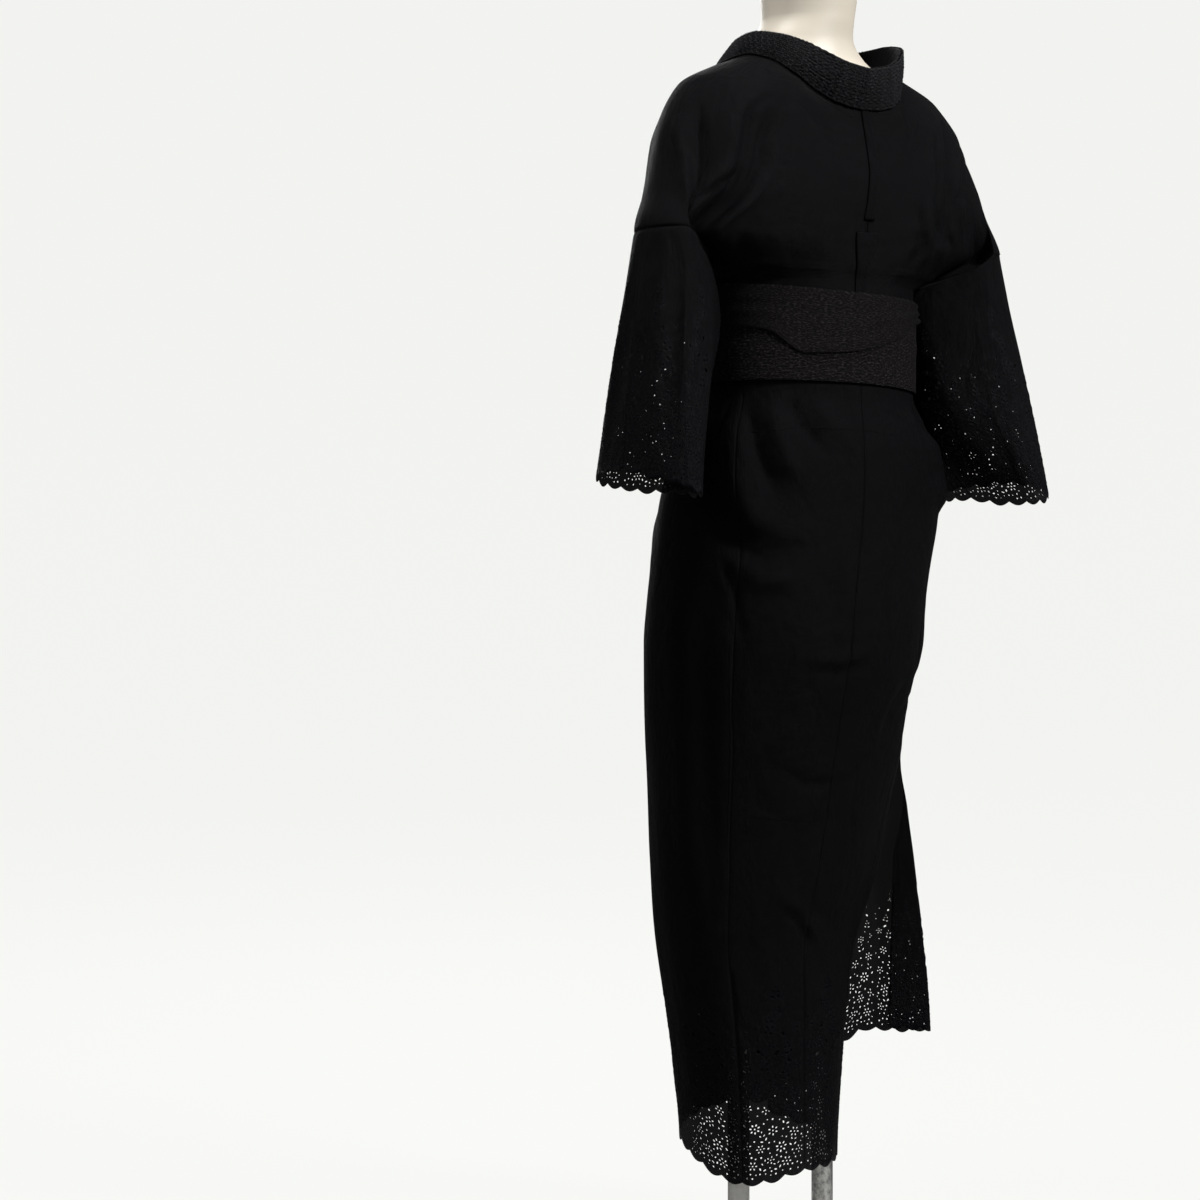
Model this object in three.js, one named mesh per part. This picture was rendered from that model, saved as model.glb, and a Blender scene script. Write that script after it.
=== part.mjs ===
// A long juban with lace hem, sleeves and half-collar, tied with its belt over a dress form.
// Millimetres, +Z up, the wearer faces -Y and the wearer's left is +X.
import * as THREE from "three";

// ---- Driving sizes -------------------------------------------------------------------
const CLOTH = 1.2;
const SEAM_GAP = 0.3;
const UNDER_LAYER = 3.2;
const COLLAR_WALL = 2.0;
const COLLAR_RAISED = 0.8;
const COLLAR_WIDTH = 47;
const COLLAR_END_Z = 790;
const HALF_COLLAR_WALL = 1.0;
const HALF_COLLAR_RAISED = 2.7;
const STRAP_WALL = 1.0;
const STRAP_GAP = 0.35;
const BELT_WALL = 1.5;
const BELT_CLEAR = 1.7;
const WRAP_Z = 1120;
const SLEEVE_SEAM_Z = 1156;
const POLE_RADIUS = 12.5;
const POLE_X = 61;
const POLE_Y = -58;
const BASE_RADIUS = 195;
const BASE_HEIGHT = 8;
const FORM_BOTTOM = 780;
const FORM_CLEAR = 9;
const FORM_SEAT = 1.8;
const WAIST_Z = 1045;
const ARM_CELLS = 6;
const LOBE_PITCH = 72;
const LOBE_DEEP = 7;

// ---- Colours -------------------------------------------------------------------------
const clothMaterial = new THREE.MeshStandardMaterial({ color: 0x141416, roughness: 0.9, metalness: 0 });
const laceMaterial = new THREE.MeshStandardMaterial({ color: 0x161618, roughness: 0.7, metalness: 0 });
const beltMaterial = new THREE.MeshStandardMaterial({ color: 0x37312e, roughness: 0.9, metalness: 0 });
const formMaterial = new THREE.MeshStandardMaterial({ color: 0xded8cc, roughness: 0.5, metalness: 0 });
const leftPoleMaterial = new THREE.MeshStandardMaterial({ color: 0xb4afa6, roughness: 0.35, metalness: 0.7 });
const rightPoleMaterial = new THREE.MeshStandardMaterial({ color: 0xa9a9a7, roughness: 0.3, metalness: 0.9 });
const baseMaterial = new THREE.MeshStandardMaterial({ color: 0xd8d8d6, roughness: 0.5, metalness: 0.2 });

// ---- Tables --------------------------------------------------------------------------
// The garment's rings: height, centre x, centre y, half-width, half-depth back, half-depth front.
const RINGS = [
  { z: 60, cx: 15, cy: -80, a: 94, back: 85, front: 85 },
  { z: 140, cx: 15, cy: -80, a: 97, back: 86, front: 86 },
  { z: 260, cx: 15, cy: -82, a: 108, back: 88, front: 88 },
  { z: 335, cx: 15, cy: -84, a: 119, back: 90, front: 90 },
  { z: 452, cx: 3, cy: -80, a: 145, back: 100, front: 100 },
  { z: 590, cx: -2, cy: -65, a: 166, back: 110, front: 110 },
  { z: 728, cx: -2, cy: -50, a: 180, back: 125, front: 125 },
  { z: 850, cx: -6, cy: -32, a: 180, back: 118, front: 118 },
  { z: 936, cx: -1, cy: -18, a: 158, back: 112, front: 112 },
  { z: 984, cx: 0, cy: -15, a: 138, back: 105, front: 105 },
  { z: 1107, cx: 0, cy: -15, a: 138, back: 105, front: 105 },
  { z: 1120, cx: 0, cy: 8, a: 185, back: 98, front: 128 },
  { z: 1156, cx: 0, cy: 12, a: 246, back: 94, front: 132 },
  { z: 1200, cx: 0, cy: 5, a: 234, back: 103, front: 127 },
  { z: 1230, cx: 0, cy: 0, a: 225, back: 104, front: 121 },
  { z: 1290, cx: 0, cy: -8, a: 202, back: 100, front: 98 },
  { z: 1328, cx: 0, cy: -10, a: 176, back: 86, front: 82 },
  { z: 1350, cx: 0, cy: -8, a: 132, back: 70, front: 68 },
  { z: 1366, cx: 0, cy: -5, a: 92, back: 50, front: 50 },
  { z: 1380, cx: 0, cy: -5, a: 60, back: 40, front: 40 },
];
// Height of the neck seam round the ring angle (0 centre back, 90 shoulder, 180 centre front).
const NECK_SEAM = [
  { angle: 0, z: 1302 }, { angle: 14, z: 1320 }, { angle: 24, z: 1340 }, { angle: 47, z: 1358 }, { angle: 90, z: 1366 },
  { angle: 120, z: 1355 }, { angle: 146, z: 1338 }, { angle: 160, z: 1298 }, { angle: 169, z: 1248 },
  { angle: 178, z: 1190 }, { angle: 181, z: 1172 }, { angle: 183, z: 1150 },
];
// Seam between a body panel and its overlap, the overlap's collar seam and its free edge.
const FRONT_EDGES = [
  { z: 60, side: 46, overlap: 140, collar: 230, free: 292 },
  { z: 590, side: 47, overlap: 140, collar: 230, free: 292 },
  { z: 620, side: 48, overlap: 140, collar: 230, free: 288 },
  { z: 790, side: 49, overlap: 140, collar: 232, free: 250 },
  { z: 900, side: 56, overlap: 145, collar: 216, free: 236 },
  { z: 990, side: 64, overlap: 155, collar: 204, free: 226 },
  { z: 1045, side: 72, overlap: 163, collar: 196, free: 218 },
  { z: 1100, side: 84, overlap: 174, collar: 186, free: 208 },
  { z: 1120, side: 89, overlap: 180, collar: 183, free: 200 },
  { z: 1400, side: 89, overlap: 181, collar: 183, free: 200 },
];
// Hem height round the worn skirt.
const HEM = [
  { angle: -180, z: 150 }, { angle: -130, z: 136 }, { angle: -90, z: 119 }, { angle: -45, z: 105 }, { angle: 0, z: 101 },
  { angle: 42, z: 97 }, { angle: 90, z: 120 }, { angle: 130, z: 136 }, { angle: 180, z: 150 }, { angle: 235, z: 166 },
];
// The folds: points by ring angle and height, height of the ridge and half-width in degrees.
const FOLDS = [
  { high: 5, wide: 7, path: [[39, 1300], [47, 1209], [51, 1143]] },
  { high: 5, wide: 7, path: [[77, 1284], [66, 1208], [63, 1165]] },
  { high: 5, wide: 7, path: [[-39, 1300], [-27, 1243], [-19, 1171], [-25, 1130]] },
  { high: 5, wide: 7, path: [[-67, 1300], [-34, 1211], [-30, 1130]] },
  { high: 7, wide: 9, path: [[76, 960], [76, 944], [70, 892], [59, 821], [42, 801], [28, 823]] },
  { high: 5, wide: 7, path: [[74, 950], [51, 911], [33, 857]] },
  { high: 16, wide: 22, path: [[-62, 940], [-64, 905], [-62, 860]] },
  { high: 4, wide: 7, path: [[-60, 680], [-31, 662], [-22, 620]] },
  { high: 6, wide: 14, path: [[118, 700], [122, 400], [125, 200]] },
  { high: 4, wide: 9, path: [[-58, 500], [-50, 330], [-32, 242]] },
];
// The raised edge of the overlap: fold line and returned edge, along the flap's own direction.
const FLAP = [
  { z: 60, fold: 149, back: 90 }, { z: 211, fold: 145, back: 92 }, { z: 496, fold: 116, back: 100 }, { z: 640, fold: 104, back: 100 },
];
const FLAP_ALONG = new THREE.Vector3(-0.788, 0.616, 0);
const FLAP_INWARD = new THREE.Vector3(0.616, 0.788, 0);
// Row heights of a skirt panel whose hem is at the first height. The lower ones follow the hem.
const HEM_LEVEL = 100;
const LEVELS = [100, 112, 124, 137, 151, 166, 184, 208, 245, 305, 375, 450, 525, 595, 660, 728, 790, 850, 905, 950,
  984, 1045, 1107, 1112, 1120];

// ---- Small helpers -------------------------------------------------------------------
const radians = (degrees) => degrees * Math.PI / 180;
const mix = (from, to, share) => from + (to - from) * share;
const clamp = (value) => Math.min(1, Math.max(0, value));
const smooth = (from, to, value) => {
  const share = clamp((value - from) / (to - from));
  return share * share * (3 - 2 * share);
};

function tableValue(table, key, at, name) {
  let index = 0;
  while (index < table.length - 2 && table[index + 1][key] <= at) {
    index += 1;
  }
  const low = table[index];
  const high = table[index + 1];
  const share = clamp((at - low[key]) / (high[key] - low[key]));
  const before = table[Math.max(0, index - 1)];
  const after = table[Math.min(table.length - 1, index + 2)];
  const step = high[key] - low[key];
  const chord = (high[name] - low[name]) / step;
  const slopeBefore = index > 0 ? (low[name] - before[name]) / (low[key] - before[key]) : chord;
  const slopeAfter = index + 2 < table.length ? (after[name] - high[name]) / (after[key] - high[key]) : chord;
  const tangent = (one, two) => (one * two <= 0 ? 0 : 2 * one * two / (one + two));
  const start = tangent(slopeBefore, chord) * step;
  const end = tangent(chord, slopeAfter) * step;
  const square = share * share;
  const cube = square * share;
  return (2 * cube - 3 * square + 1) * low[name] + (cube - 2 * square + share) * start
    + (3 * square - 2 * cube) * high[name] + (cube - square) * end;
}

const edgeAngle = (name, z) => tableValue(FRONT_EDGES, "z", z, name);
const neckHeight = (angle) => tableValue(NECK_SEAM, "angle", Math.abs(angle), "z");

// How far the folds push the cloth outward at a ring angle (degrees) and a height.
function foldOut(angle, z) {
  let total = 0;
  for (const fold of FOLDS) {
    let nearest = Infinity;
    for (let index = 0; index + 1 < fold.path.length; index += 1) {
      const [angleA, zA] = fold.path[index];
      const [angleB, zB] = fold.path[index + 1];
      const alongAngle = angleB - angleA;
      const alongZ = (zB - zA) / 2;
      const length = alongAngle * alongAngle + alongZ * alongZ;
      const share = clamp(((angle - angleA) * alongAngle + (z - zA) / 2 * alongZ) / length);
      const gapAngle = angle - angleA - share * alongAngle;
      const gapZ = (z - zA) / 2 - share * alongZ;
      nearest = Math.min(nearest, Math.hypot(gapAngle, gapZ));
    }
    total += fold.high * Math.exp(-((nearest / fold.wide) ** 2));
  }
  return total * (1 - smooth(955, 985, z) * (1 - smooth(1106, 1125, z)));
}

// A point of the garment's outer face, and the face moved along its outward direction.
function ringPoint(angle, z, outward = 0, extra = 0) {
  const turned = radians(angle);
  const depth = Math.cos(turned) > 0 ? tableValue(RINGS, "z", z, "back") : tableValue(RINGS, "z", z, "front");
  const width = tableValue(RINGS, "z", z, "a");
  const normal = new THREE.Vector2(Math.sin(turned) / width, Math.cos(turned) / depth).normalize();
  const push = outward + extra;
  return new THREE.Vector3(
    tableValue(RINGS, "z", z, "cx") + width * Math.sin(turned) + normal.x * push,
    tableValue(RINGS, "z", z, "cy") + depth * Math.cos(turned) + normal.y * push,
    z,
  );
}

// Degrees of ring angle that a length covers along the ring.
function degreesOf(length, angle, z) {
  const turned = radians(angle);
  const width = tableValue(RINGS, "z", z, "a") * Math.cos(turned);
  const depth = tableValue(RINGS, "z", z, "back") * Math.sin(turned);
  return length / Math.hypot(width, depth) * 180 / Math.PI;
}

// The ring round the top of a sleeve: share 0 to 1 goes from the armpit over the back to the front.
const SLEEVE_RING = { x: 217, y: 21, inner: 31, outer: 30, deep: 47 };
const ARMPIT_SPLIT = 1.7;
function sleeveSeamNode(side, share) {
  const turn = radians(360 * share);
  const inward = Math.cos(turn);
  const reach = inward > 0 ? SLEEVE_RING.inner : SLEEVE_RING.outer;
  const armpit = ringPoint(side * edgeAngle("side", WRAP_Z), WRAP_Z);
  const edge = Math.min(share, 1 - share);
  const away = smooth(0, 0.18, edge);
  const split = edge === 0 ? ARMPIT_SPLIT * (share < 0.5 ? 1 : -1) : 0;
  return new THREE.Vector3(
    mix(armpit.x, side * (SLEEVE_RING.x - reach * inward), away),
    SLEEVE_RING.y + SLEEVE_RING.deep * Math.sin(turn) + (armpit.y - SLEEVE_RING.y) * (1 - away) + split,
    mix(WRAP_Z, SLEEVE_SEAM_Z, smooth(0, 0.3, edge)),
  );
}

// The same ring as straight stretches between the body panel's own points.
function sleeveSeam(side, share) {
  const steps = 2 * ARM_CELLS;
  const low = Math.min(steps - 1, Math.floor(share * steps + 1e-6));
  return sleeveSeamNode(side, low / steps).lerp(sleeveSeamNode(side, (low + 1) / steps), share * steps - low);
}

function sleeveSeamNormal(side, share) {
  if (share === 0 || share === 1) {
    return new THREE.Vector3(0, share === 0 ? 1 : -1, 0);
  }
  const step = 1 / (2 * ARM_CELLS);
  const along = sleeveSeam(side, Math.min(1, share + step)).sub(sleeveSeam(side, Math.max(0, share - step)));
  return new THREE.Vector3(-along.y * side, along.x * side, 0).normalize();
}

// ---- Sheet builder -------------------------------------------------------------------
// A wall from a grid: point(i, j) is its outer face, present(i, j) says which cells are cloth.
function sheetSolid({ name, material, across, along, point, wall, raised = 0, present, holes, normalAt,
  flip = false }) {
  const isCell = (i, j) => i >= 0 && j >= 0 && i < across && j < along && (!present || present(i, j));
  const points = [];
  for (let j = 0; j <= along; j += 1) {
    for (let i = 0; i <= across; i += 1) {
      points.push(point(i, j));
    }
  }
  const at = (i, j) => j * (across + 1) + i;
  const sign = flip ? -1 : 1;
  const normals = points.map(() => new THREE.Vector3());
  const edgeA = new THREE.Vector3();
  const edgeB = new THREE.Vector3();
  for (let j = 0; j < along; j += 1) {
    for (let i = 0; i < across; i += 1) {
      if (!isCell(i, j)) {
        continue;
      }
      const corners = [at(i, j), at(i + 1, j), at(i + 1, j + 1), at(i, j + 1)];
      edgeA.subVectors(points[corners[2]], points[corners[0]]);
      edgeB.subVectors(points[corners[3]], points[corners[1]]);
      const facet = new THREE.Vector3().crossVectors(edgeA, edgeB).normalize().multiplyScalar(sign);
      corners.forEach((corner) => normals[corner].add(facet));
    }
  }
  normals.forEach((normal, index) => {
    normal.normalize();
    const column = index % (across + 1);
    const row = Math.floor(index / (across + 1));
    if (normalAt) {
      normalAt(column, row, normal);
    }
  });
  const outer = points.map((spot, index) => spot.clone().addScaledVector(normals[index], raised));
  const inner = outer.map((spot, index) => spot.clone().addScaledVector(normals[index], -wall));
  const vertices = [];
  const put = (spot) => vertices.push(spot.x, spot.y, spot.z);
  const triangle = (one, two, three) => {
    const order = flip ? [one, three, two] : [one, two, three];
    order.forEach(put);
  };
  const quad = (one, two, three, four) => {
    triangle(one, two, three);
    triangle(one, three, four);
  };
  for (let j = 0; j < along; j += 1) {
    for (let i = 0; i < across; i += 1) {
      if (!isCell(i, j)) {
        continue;
      }
      const corners = [at(i, j), at(i + 1, j), at(i + 1, j + 1), at(i, j + 1)];
      const hole = holes ? holes(i, j) : null;
      if (hole) {
        cellWithHole(corners.map((corner) => outer[corner]), corners.map((corner) => inner[corner]), hole, triangle, quad);
      } else {
        const lengthA = points[corners[0]].distanceToSquared(points[corners[2]]);
        const lengthB = points[corners[1]].distanceToSquared(points[corners[3]]);
        const start = lengthA <= lengthB ? 0 : 1;
        const order = [0, 1, 2, 3].map((step) => corners[(start + step) % 4]);
        const back = [0, 3, 2, 1].map((step) => corners[(start + step) % 4]);
        quad(...order.map((corner) => outer[corner]));
        quad(...back.map((corner) => inner[corner]));
      }
      const sides = [[0, 1, i, j - 1], [1, 2, i + 1, j], [2, 3, i, j + 1], [3, 0, i - 1, j]];
      for (const [from, to, nextI, nextJ] of sides) {
        if (!isCell(nextI, nextJ)) {
          quad(outer[corners[to]], outer[corners[from]], inner[corners[from]], inner[corners[to]]);
        }
      }
    }
  }
  return meshOf(name, vertices, material);
}

// One cell with an eyelet: a ring of points inside the cell on both faces, joined through the wall.
const HOLE_SIDES = 6;
function cellWithHole(outerCell, innerCell, hole, triangle, quad) {
  const spotIn = (cell, u, v) => {
    const low = cell[0].clone().lerp(cell[1], u);
    const high = cell[3].clone().lerp(cell[2], u);
    return low.lerp(high, v);
  };
  const rings = [outerCell, innerCell].map((cell) => {
    const ring = [];
    for (let step = 0; step < HOLE_SIDES; step += 1) {
      const turn = radians(-120 + step * 360 / HOLE_SIDES);
      ring.push(spotIn(cell, 0.5 + hole.u * Math.cos(turn), 0.5 + hole.v * Math.sin(turn)));
    }
    return ring;
  });
  // Ring steps nearest to each corner: the six points run anticlockwise from the lower left.
  const near = [0, 1, 3, 4];
  for (const [cell, ring, turned] of [[outerCell, rings[0], false], [innerCell, rings[1], true]]) {
    const fill = (one, two, three) => (turned ? triangle(one, three, two) : triangle(one, two, three));
    for (let corner = 0; corner < 4; corner += 1) {
      const next = (corner + 1) % 4;
      fill(cell[corner], cell[next], ring[near[corner]]);
      let step = near[corner];
      while (step !== near[next]) {
        const after = (step + 1) % HOLE_SIDES;
        fill(cell[next], ring[after], ring[step]);
        step = after;
      }
    }
  }
  for (let step = 0; step < HOLE_SIDES; step += 1) {
    const after = (step + 1) % HOLE_SIDES;
    quad(rings[0][step], rings[0][after], rings[1][after], rings[1][step]);
  }
}

function meshOf(name, vertices, material) {
  const geometry = new THREE.BufferGeometry();
  geometry.setAttribute("position", new THREE.Float32BufferAttribute(vertices, 3));
  geometry.computeVertexNormals();
  const mesh = new THREE.Mesh(geometry, material);
  mesh.name = name;
  return mesh;
}

// A solid of rings from the bottom up, closed flat at both ends.
function ringSolid(name, material, rings, steps) {
  const vertices = [];
  const put = (...spots) => spots.forEach((spot) => vertices.push(spot.x, spot.y, spot.z));
  const spotOf = (ring, step) => {
    const turn = radians(360 * (step % steps) / steps);
    const depth = Math.cos(turn) > 0 && ring.back ? ring.back : ring.b;
    return new THREE.Vector3(ring.cx + ring.a * Math.sin(turn), ring.cy + depth * Math.cos(turn), ring.z);
  };
  for (let step = 0; step < steps; step += 1) {
    for (let index = 0; index + 1 < rings.length; index += 1) {
      const lowA = spotOf(rings[index], step);
      const lowB = spotOf(rings[index], step + 1);
      const highA = spotOf(rings[index + 1], step);
      const highB = spotOf(rings[index + 1], step + 1);
      put(lowB, lowA, highA, lowB, highA, highB);
    }
    const first = rings[0];
    const last = rings[rings.length - 1];
    put(new THREE.Vector3(first.cx, first.cy, first.z), spotOf(first, step), spotOf(first, step + 1));
    put(new THREE.Vector3(last.cx, last.cy, last.z), spotOf(last, step + 1), spotOf(last, step));
  }
  return meshOf(name, vertices, material);
}

// ---- Lace edge -----------------------------------------------------------------------
// Hem depth below the base line: one large and one small lobe in each repeat.
function scallop(distance) {
  const place = ((distance % LOBE_PITCH) + LOBE_PITCH) % LOBE_PITCH;
  const large = LOBE_PITCH * 2 / 3;
  if (place < large) {
    return -LOBE_DEEP * Math.sin(Math.PI * place / large);
  }
  return -LOBE_DEEP / 2 * Math.sin(Math.PI * (place - large) / (LOBE_PITCH - large));
}

// Eyelets larger than 4 mm, by column and row counted from the edge.
function laceHole(column, row) {
  const place = ((column % 6) + 6) % 6;
  if (row === 2 && (place === 1 || place === 3)) {
    return { u: 0.24, v: 0.27 };
  }
  if (row === 3 && place === 2) {
    return { u: 0.2, v: 0.3 };
  }
  if (row === 4 && place === 5) {
    return { u: 0.24, v: 0.2 };
  }
  if (row === 6 && place === 2) {
    return { u: 0.22, v: 0.2 };
  }
  return null;
}

// ---- Body panels ---------------------------------------------------------------------
const BACK_CELLS = 8;
const CHEST_CELLS = 8;
const TORSO_ROWS = LEVELS.length - 1;
const SHOULDER_ROWS = 7;
const levelHeight = (row, bottom) => LEVELS[row] + (bottom - HEM_LEVEL) * (1 - smooth(180, 500, LEVELS[row]));
const hemHeight = (angle) => tableValue(HEM, "angle", angle, "z");

// Ring angle of each column on the shoulders, and the height where the wrap line ends there.
const frontEnd = (z) => mix(182.8, 181, clamp((z - WRAP_Z) / 52));
function shoulderAngle(column, z) {
  const first = BACK_CELLS;
  const second = first + ARM_CELLS;
  const third = second + ARM_CELLS;
  if (column <= first) {
    return 50 * column / first;
  }
  if (column <= second) {
    return mix(50, 90, (column - first) / ARM_CELLS);
  }
  if (column <= third) {
    return mix(90, 130, (column - second) / ARM_CELLS);
  }
  return mix(130, frontEnd(z), (column - third) / CHEST_CELLS);
}

const necklines = new Map();

// How far the right-hand panel lies below the left one where the two overlap.
function underDepth(angle, z) {
  const flapShare = 1 - smooth(500, 620, z);
  const limit = 360 - mix(edgeAngle("free", z), 230, flapShare);
  return -UNDER_LAYER * smooth(limit - 36, limit - 12, angle);
}

function bodyPanel(side) {
  const isUnder = side < 0;
  const across = BACK_CELLS + 2 * ARM_CELLS + CHEST_CELLS;
  const along = TORSO_ROWS + SHOULDER_ROWS;
  const frontStart = BACK_CELLS + 2 * ARM_CELLS;
  const half = SEAM_GAP / 2;
  const under = (angle, z) => (isUnder ? underDepth(angle, z) : 0);
  const wrapAngle = (column) => {
    if (column <= BACK_CELLS) {
      return edgeAngle("side", WRAP_Z) * column / BACK_CELLS;
    }
    return mix(edgeAngle("side", WRAP_Z), frontEnd(WRAP_Z), (column - frontStart) / CHEST_CELLS);
  };
  const torso = (angle, z) => ringPoint(side * angle, z, under(angle, z), foldOut(side * angle, z));
  const skirtPoint = (column, row) => {
    const isBack = column <= BACK_CELLS;
    const share = isBack ? column / BACK_CELLS : (column - frontStart) / CHEST_CELLS;
    const place = (z) => (isBack ? mix(0, edgeAngle("side", z), share)
      : mix(edgeAngle("side", z), edgeAngle("overlap", z), share));
    const hemAngle = side * place(200);
    const z = levelHeight(row, hemHeight(hemAngle)) + (row === 0 ? scallop(hemAngle * 1.72) : 0);
    const inset = degreesOf(half, place(z), z);
    return torso(place(z) + (share === 0 ? inset : 0) - (share === 1 ? inset : 0), z);
  };
  // Where the shoulder part starts: the torso's top row, then the ring that the sleeve is sewn to.
  const wrapPoint = (column) => {
    if (column <= BACK_CELLS || column >= frontStart) {
      const end = column === BACK_CELLS || column === frontStart;
      const spot = torso(wrapAngle(column), WRAP_Z);
      spot.y += end ? ARMPIT_SPLIT * (column === BACK_CELLS ? 1 : -1) : 0;
      return spot;
    }
    return sleeveSeam(side, (column - BACK_CELLS) / (2 * ARM_CELLS));
  };
  const point = (column, row) => {
    if (row < TORSO_ROWS) {
      if (column > BACK_CELLS && column < frontStart) {
        return new THREE.Vector3(side * column, 0, row);
      }
      return skirtPoint(column, row);
    }
    const wrap = wrapPoint(column);
    const start = wrap.z;
    const share = (row - TORSO_ROWS) / SHOULDER_ROWS;
    const used = Math.max(shoulderAngle(column, start), degreesOf(half, 0, start));
    const top = neckHeight(shoulderAngle(column, 1200)) - half;
    const z = mix(start, top, share);
    const turned = Math.max(shoulderAngle(column, z), degreesOf(half, 0, z));
    const base = ringPoint(side * used, start, under(used, start), foldOut(side * used, start));
    const fold = foldOut(side * turned, z) * (1 - smooth(0.8, 1, share));
    const spot = ringPoint(side * turned, z, under(turned, z), fold);
    const fade = (1 - clamp((z - start) / 125)) ** 2;
    spot.x += (wrap.x - base.x) * fade;
    spot.y += (wrap.y - base.y) * fade;
    if (column === 0) {
      spot.x = side * half;
    }
    return spot;
  };
  const present = (column, row) => row >= TORSO_ROWS || column < BACK_CELLS || column >= frontStart;
  const normalAt = (column, row, normal) => {
    const isSleeveSeam = row === TORSO_ROWS && column >= BACK_CELLS && column <= frontStart;
    if (isSleeveSeam) {
      normal.copy(sleeveSeamNormal(side, (column - BACK_CELLS) / (2 * ARM_CELLS)));
    }
    if (column === 0) {
      normal.x = 0;
      normal.normalize();
    }
  };
  if (!necklines.has(side)) {
    const line = [];
    for (let column = 0; column <= across; column += 1) {
      line.push(point(column, along));
    }
    necklines.set(side, line);
  }
  return sheetSolid({
    name: side > 0 ? "left_body_panel" : "right_body_panel",
    material: clothMaterial,
    across,
    along,
    point,
    wall: CLOTH,
    present,
    normalAt,
    holes: (column, row) => (row < 8 && present(column, row) ? laceHole(column * side, row) : null),
    flip: side > 0,
  });
}

// ---- Overlap panels ------------------------------------------------------------------
const OVERLAP_CELLS = 8;
const WING_CELLS = 8;
const TURN_CELLS = 3;
const RETURN_CELLS = 3;
function overHem(column) {
  const onTube = clamp(column / OVERLAP_CELLS);
  const onWing = clamp((column - OVERLAP_CELLS) / WING_CELLS);
  return mix(mix(138, 166, onTube), 211, smooth(0, 1, onWing)) + 4 * clamp((column - 20) / 5);
}

function leftOverlap() {
  const across = OVERLAP_CELLS + WING_CELLS + TURN_CELLS + RETURN_CELLS;
  const top = WRAP_Z - 8;
  const wingEnd = OVERLAP_CELLS + WING_CELLS;
  const heightOf = (column, row) => {
    return Math.min(top, levelHeight(row, overHem(column))) + (row === 0 ? scallop(column * 15) : 0);
  };
  const turnRadius = 2.6;
  const point = (column, row) => {
    const z = heightOf(column, row);
    const inset = degreesOf(SEAM_GAP, edgeAngle("overlap", z), z);
    const collarAngle = edgeAngle("collar", z);
    if (column <= OVERLAP_CELLS) {
      const seam = edgeAngle("overlap", z) + inset;
      const angle = mix(seam, collarAngle, column / OVERLAP_CELLS);
      return ringPoint(angle, z, 0, foldOut(angle, z));
    }
    const wing = clamp((column - OVERLAP_CELLS) / WING_CELLS);
    const onTube = ringPoint(mix(collarAngle, edgeAngle("free", z), wing), z, 0, 0);
    const start = ringPoint(collarAngle, z);
    const startAlong = start.dot(FLAP_ALONG);
    const fold = tableValue(FLAP, "z", z, "fold");
    const back = tableValue(FLAP, "z", z, "back");
    const flat = start.clone().addScaledVector(FLAP_ALONG, (fold - startAlong) * wing);
    flat.addScaledVector(FLAP_INWARD, -6 * Math.sin(Math.PI * wing) * (1.3 + Math.sin(z / 60)));
    const share = 1 - smooth(500, 620, z);
    const spot = onTube.lerp(flat, share);
    if (column <= wingEnd) {
      return spot;
    }
    const turn = clamp((column - wingEnd) / TURN_CELLS);
    const angle = Math.PI * turn;
    spot.addScaledVector(FLAP_ALONG, turnRadius * Math.sin(angle));
    spot.addScaledVector(FLAP_INWARD, turnRadius * (1 - Math.cos(angle)));
    const along = clamp((column - wingEnd - TURN_CELLS) / RETURN_CELLS);
    spot.addScaledVector(FLAP_ALONG, -(fold - back) * along);
    spot.addScaledVector(FLAP_INWARD, 3 * along);
    return spot;
  };
  const present = (column, row) => {
    const z = heightOf(0, row + 1);
    if (column >= wingEnd) {
      return z < 545;
    }
    return column < OVERLAP_CELLS || z <= COLLAR_END_Z;
  };
  return sheetSolid({
    name: "left_overlap_panel",
    material: clothMaterial,
    across,
    along: TORSO_ROWS - 1,
    point,
    wall: CLOTH,
    present,
    holes: (column, row) => (row < 8 && (column < wingEnd - 1 || column > wingEnd + TURN_CELLS)
      ? laceHole(column, row) : null),
    flip: true,
  });
}

function rightOverlap() {
  const across = 9;
  const point = (column, row) => {
    const z = levelHeight(row, 152) + (row === 0 ? scallop(column * 18) : 0);
    const inset = degreesOf(SEAM_GAP, edgeAngle("overlap", z), z);
    const end = z < COLLAR_END_Z ? 238 : edgeAngle("collar", z);
    const angle = mix(edgeAngle("overlap", z) + inset, end, column / across);
    return ringPoint(-angle, z, -UNDER_LAYER);
  };
  return sheetSolid({
    name: "right_overlap_panel",
    material: clothMaterial,
    across,
    along: TORSO_ROWS - 1,
    point,
    wall: CLOTH,
  });
}

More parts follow.
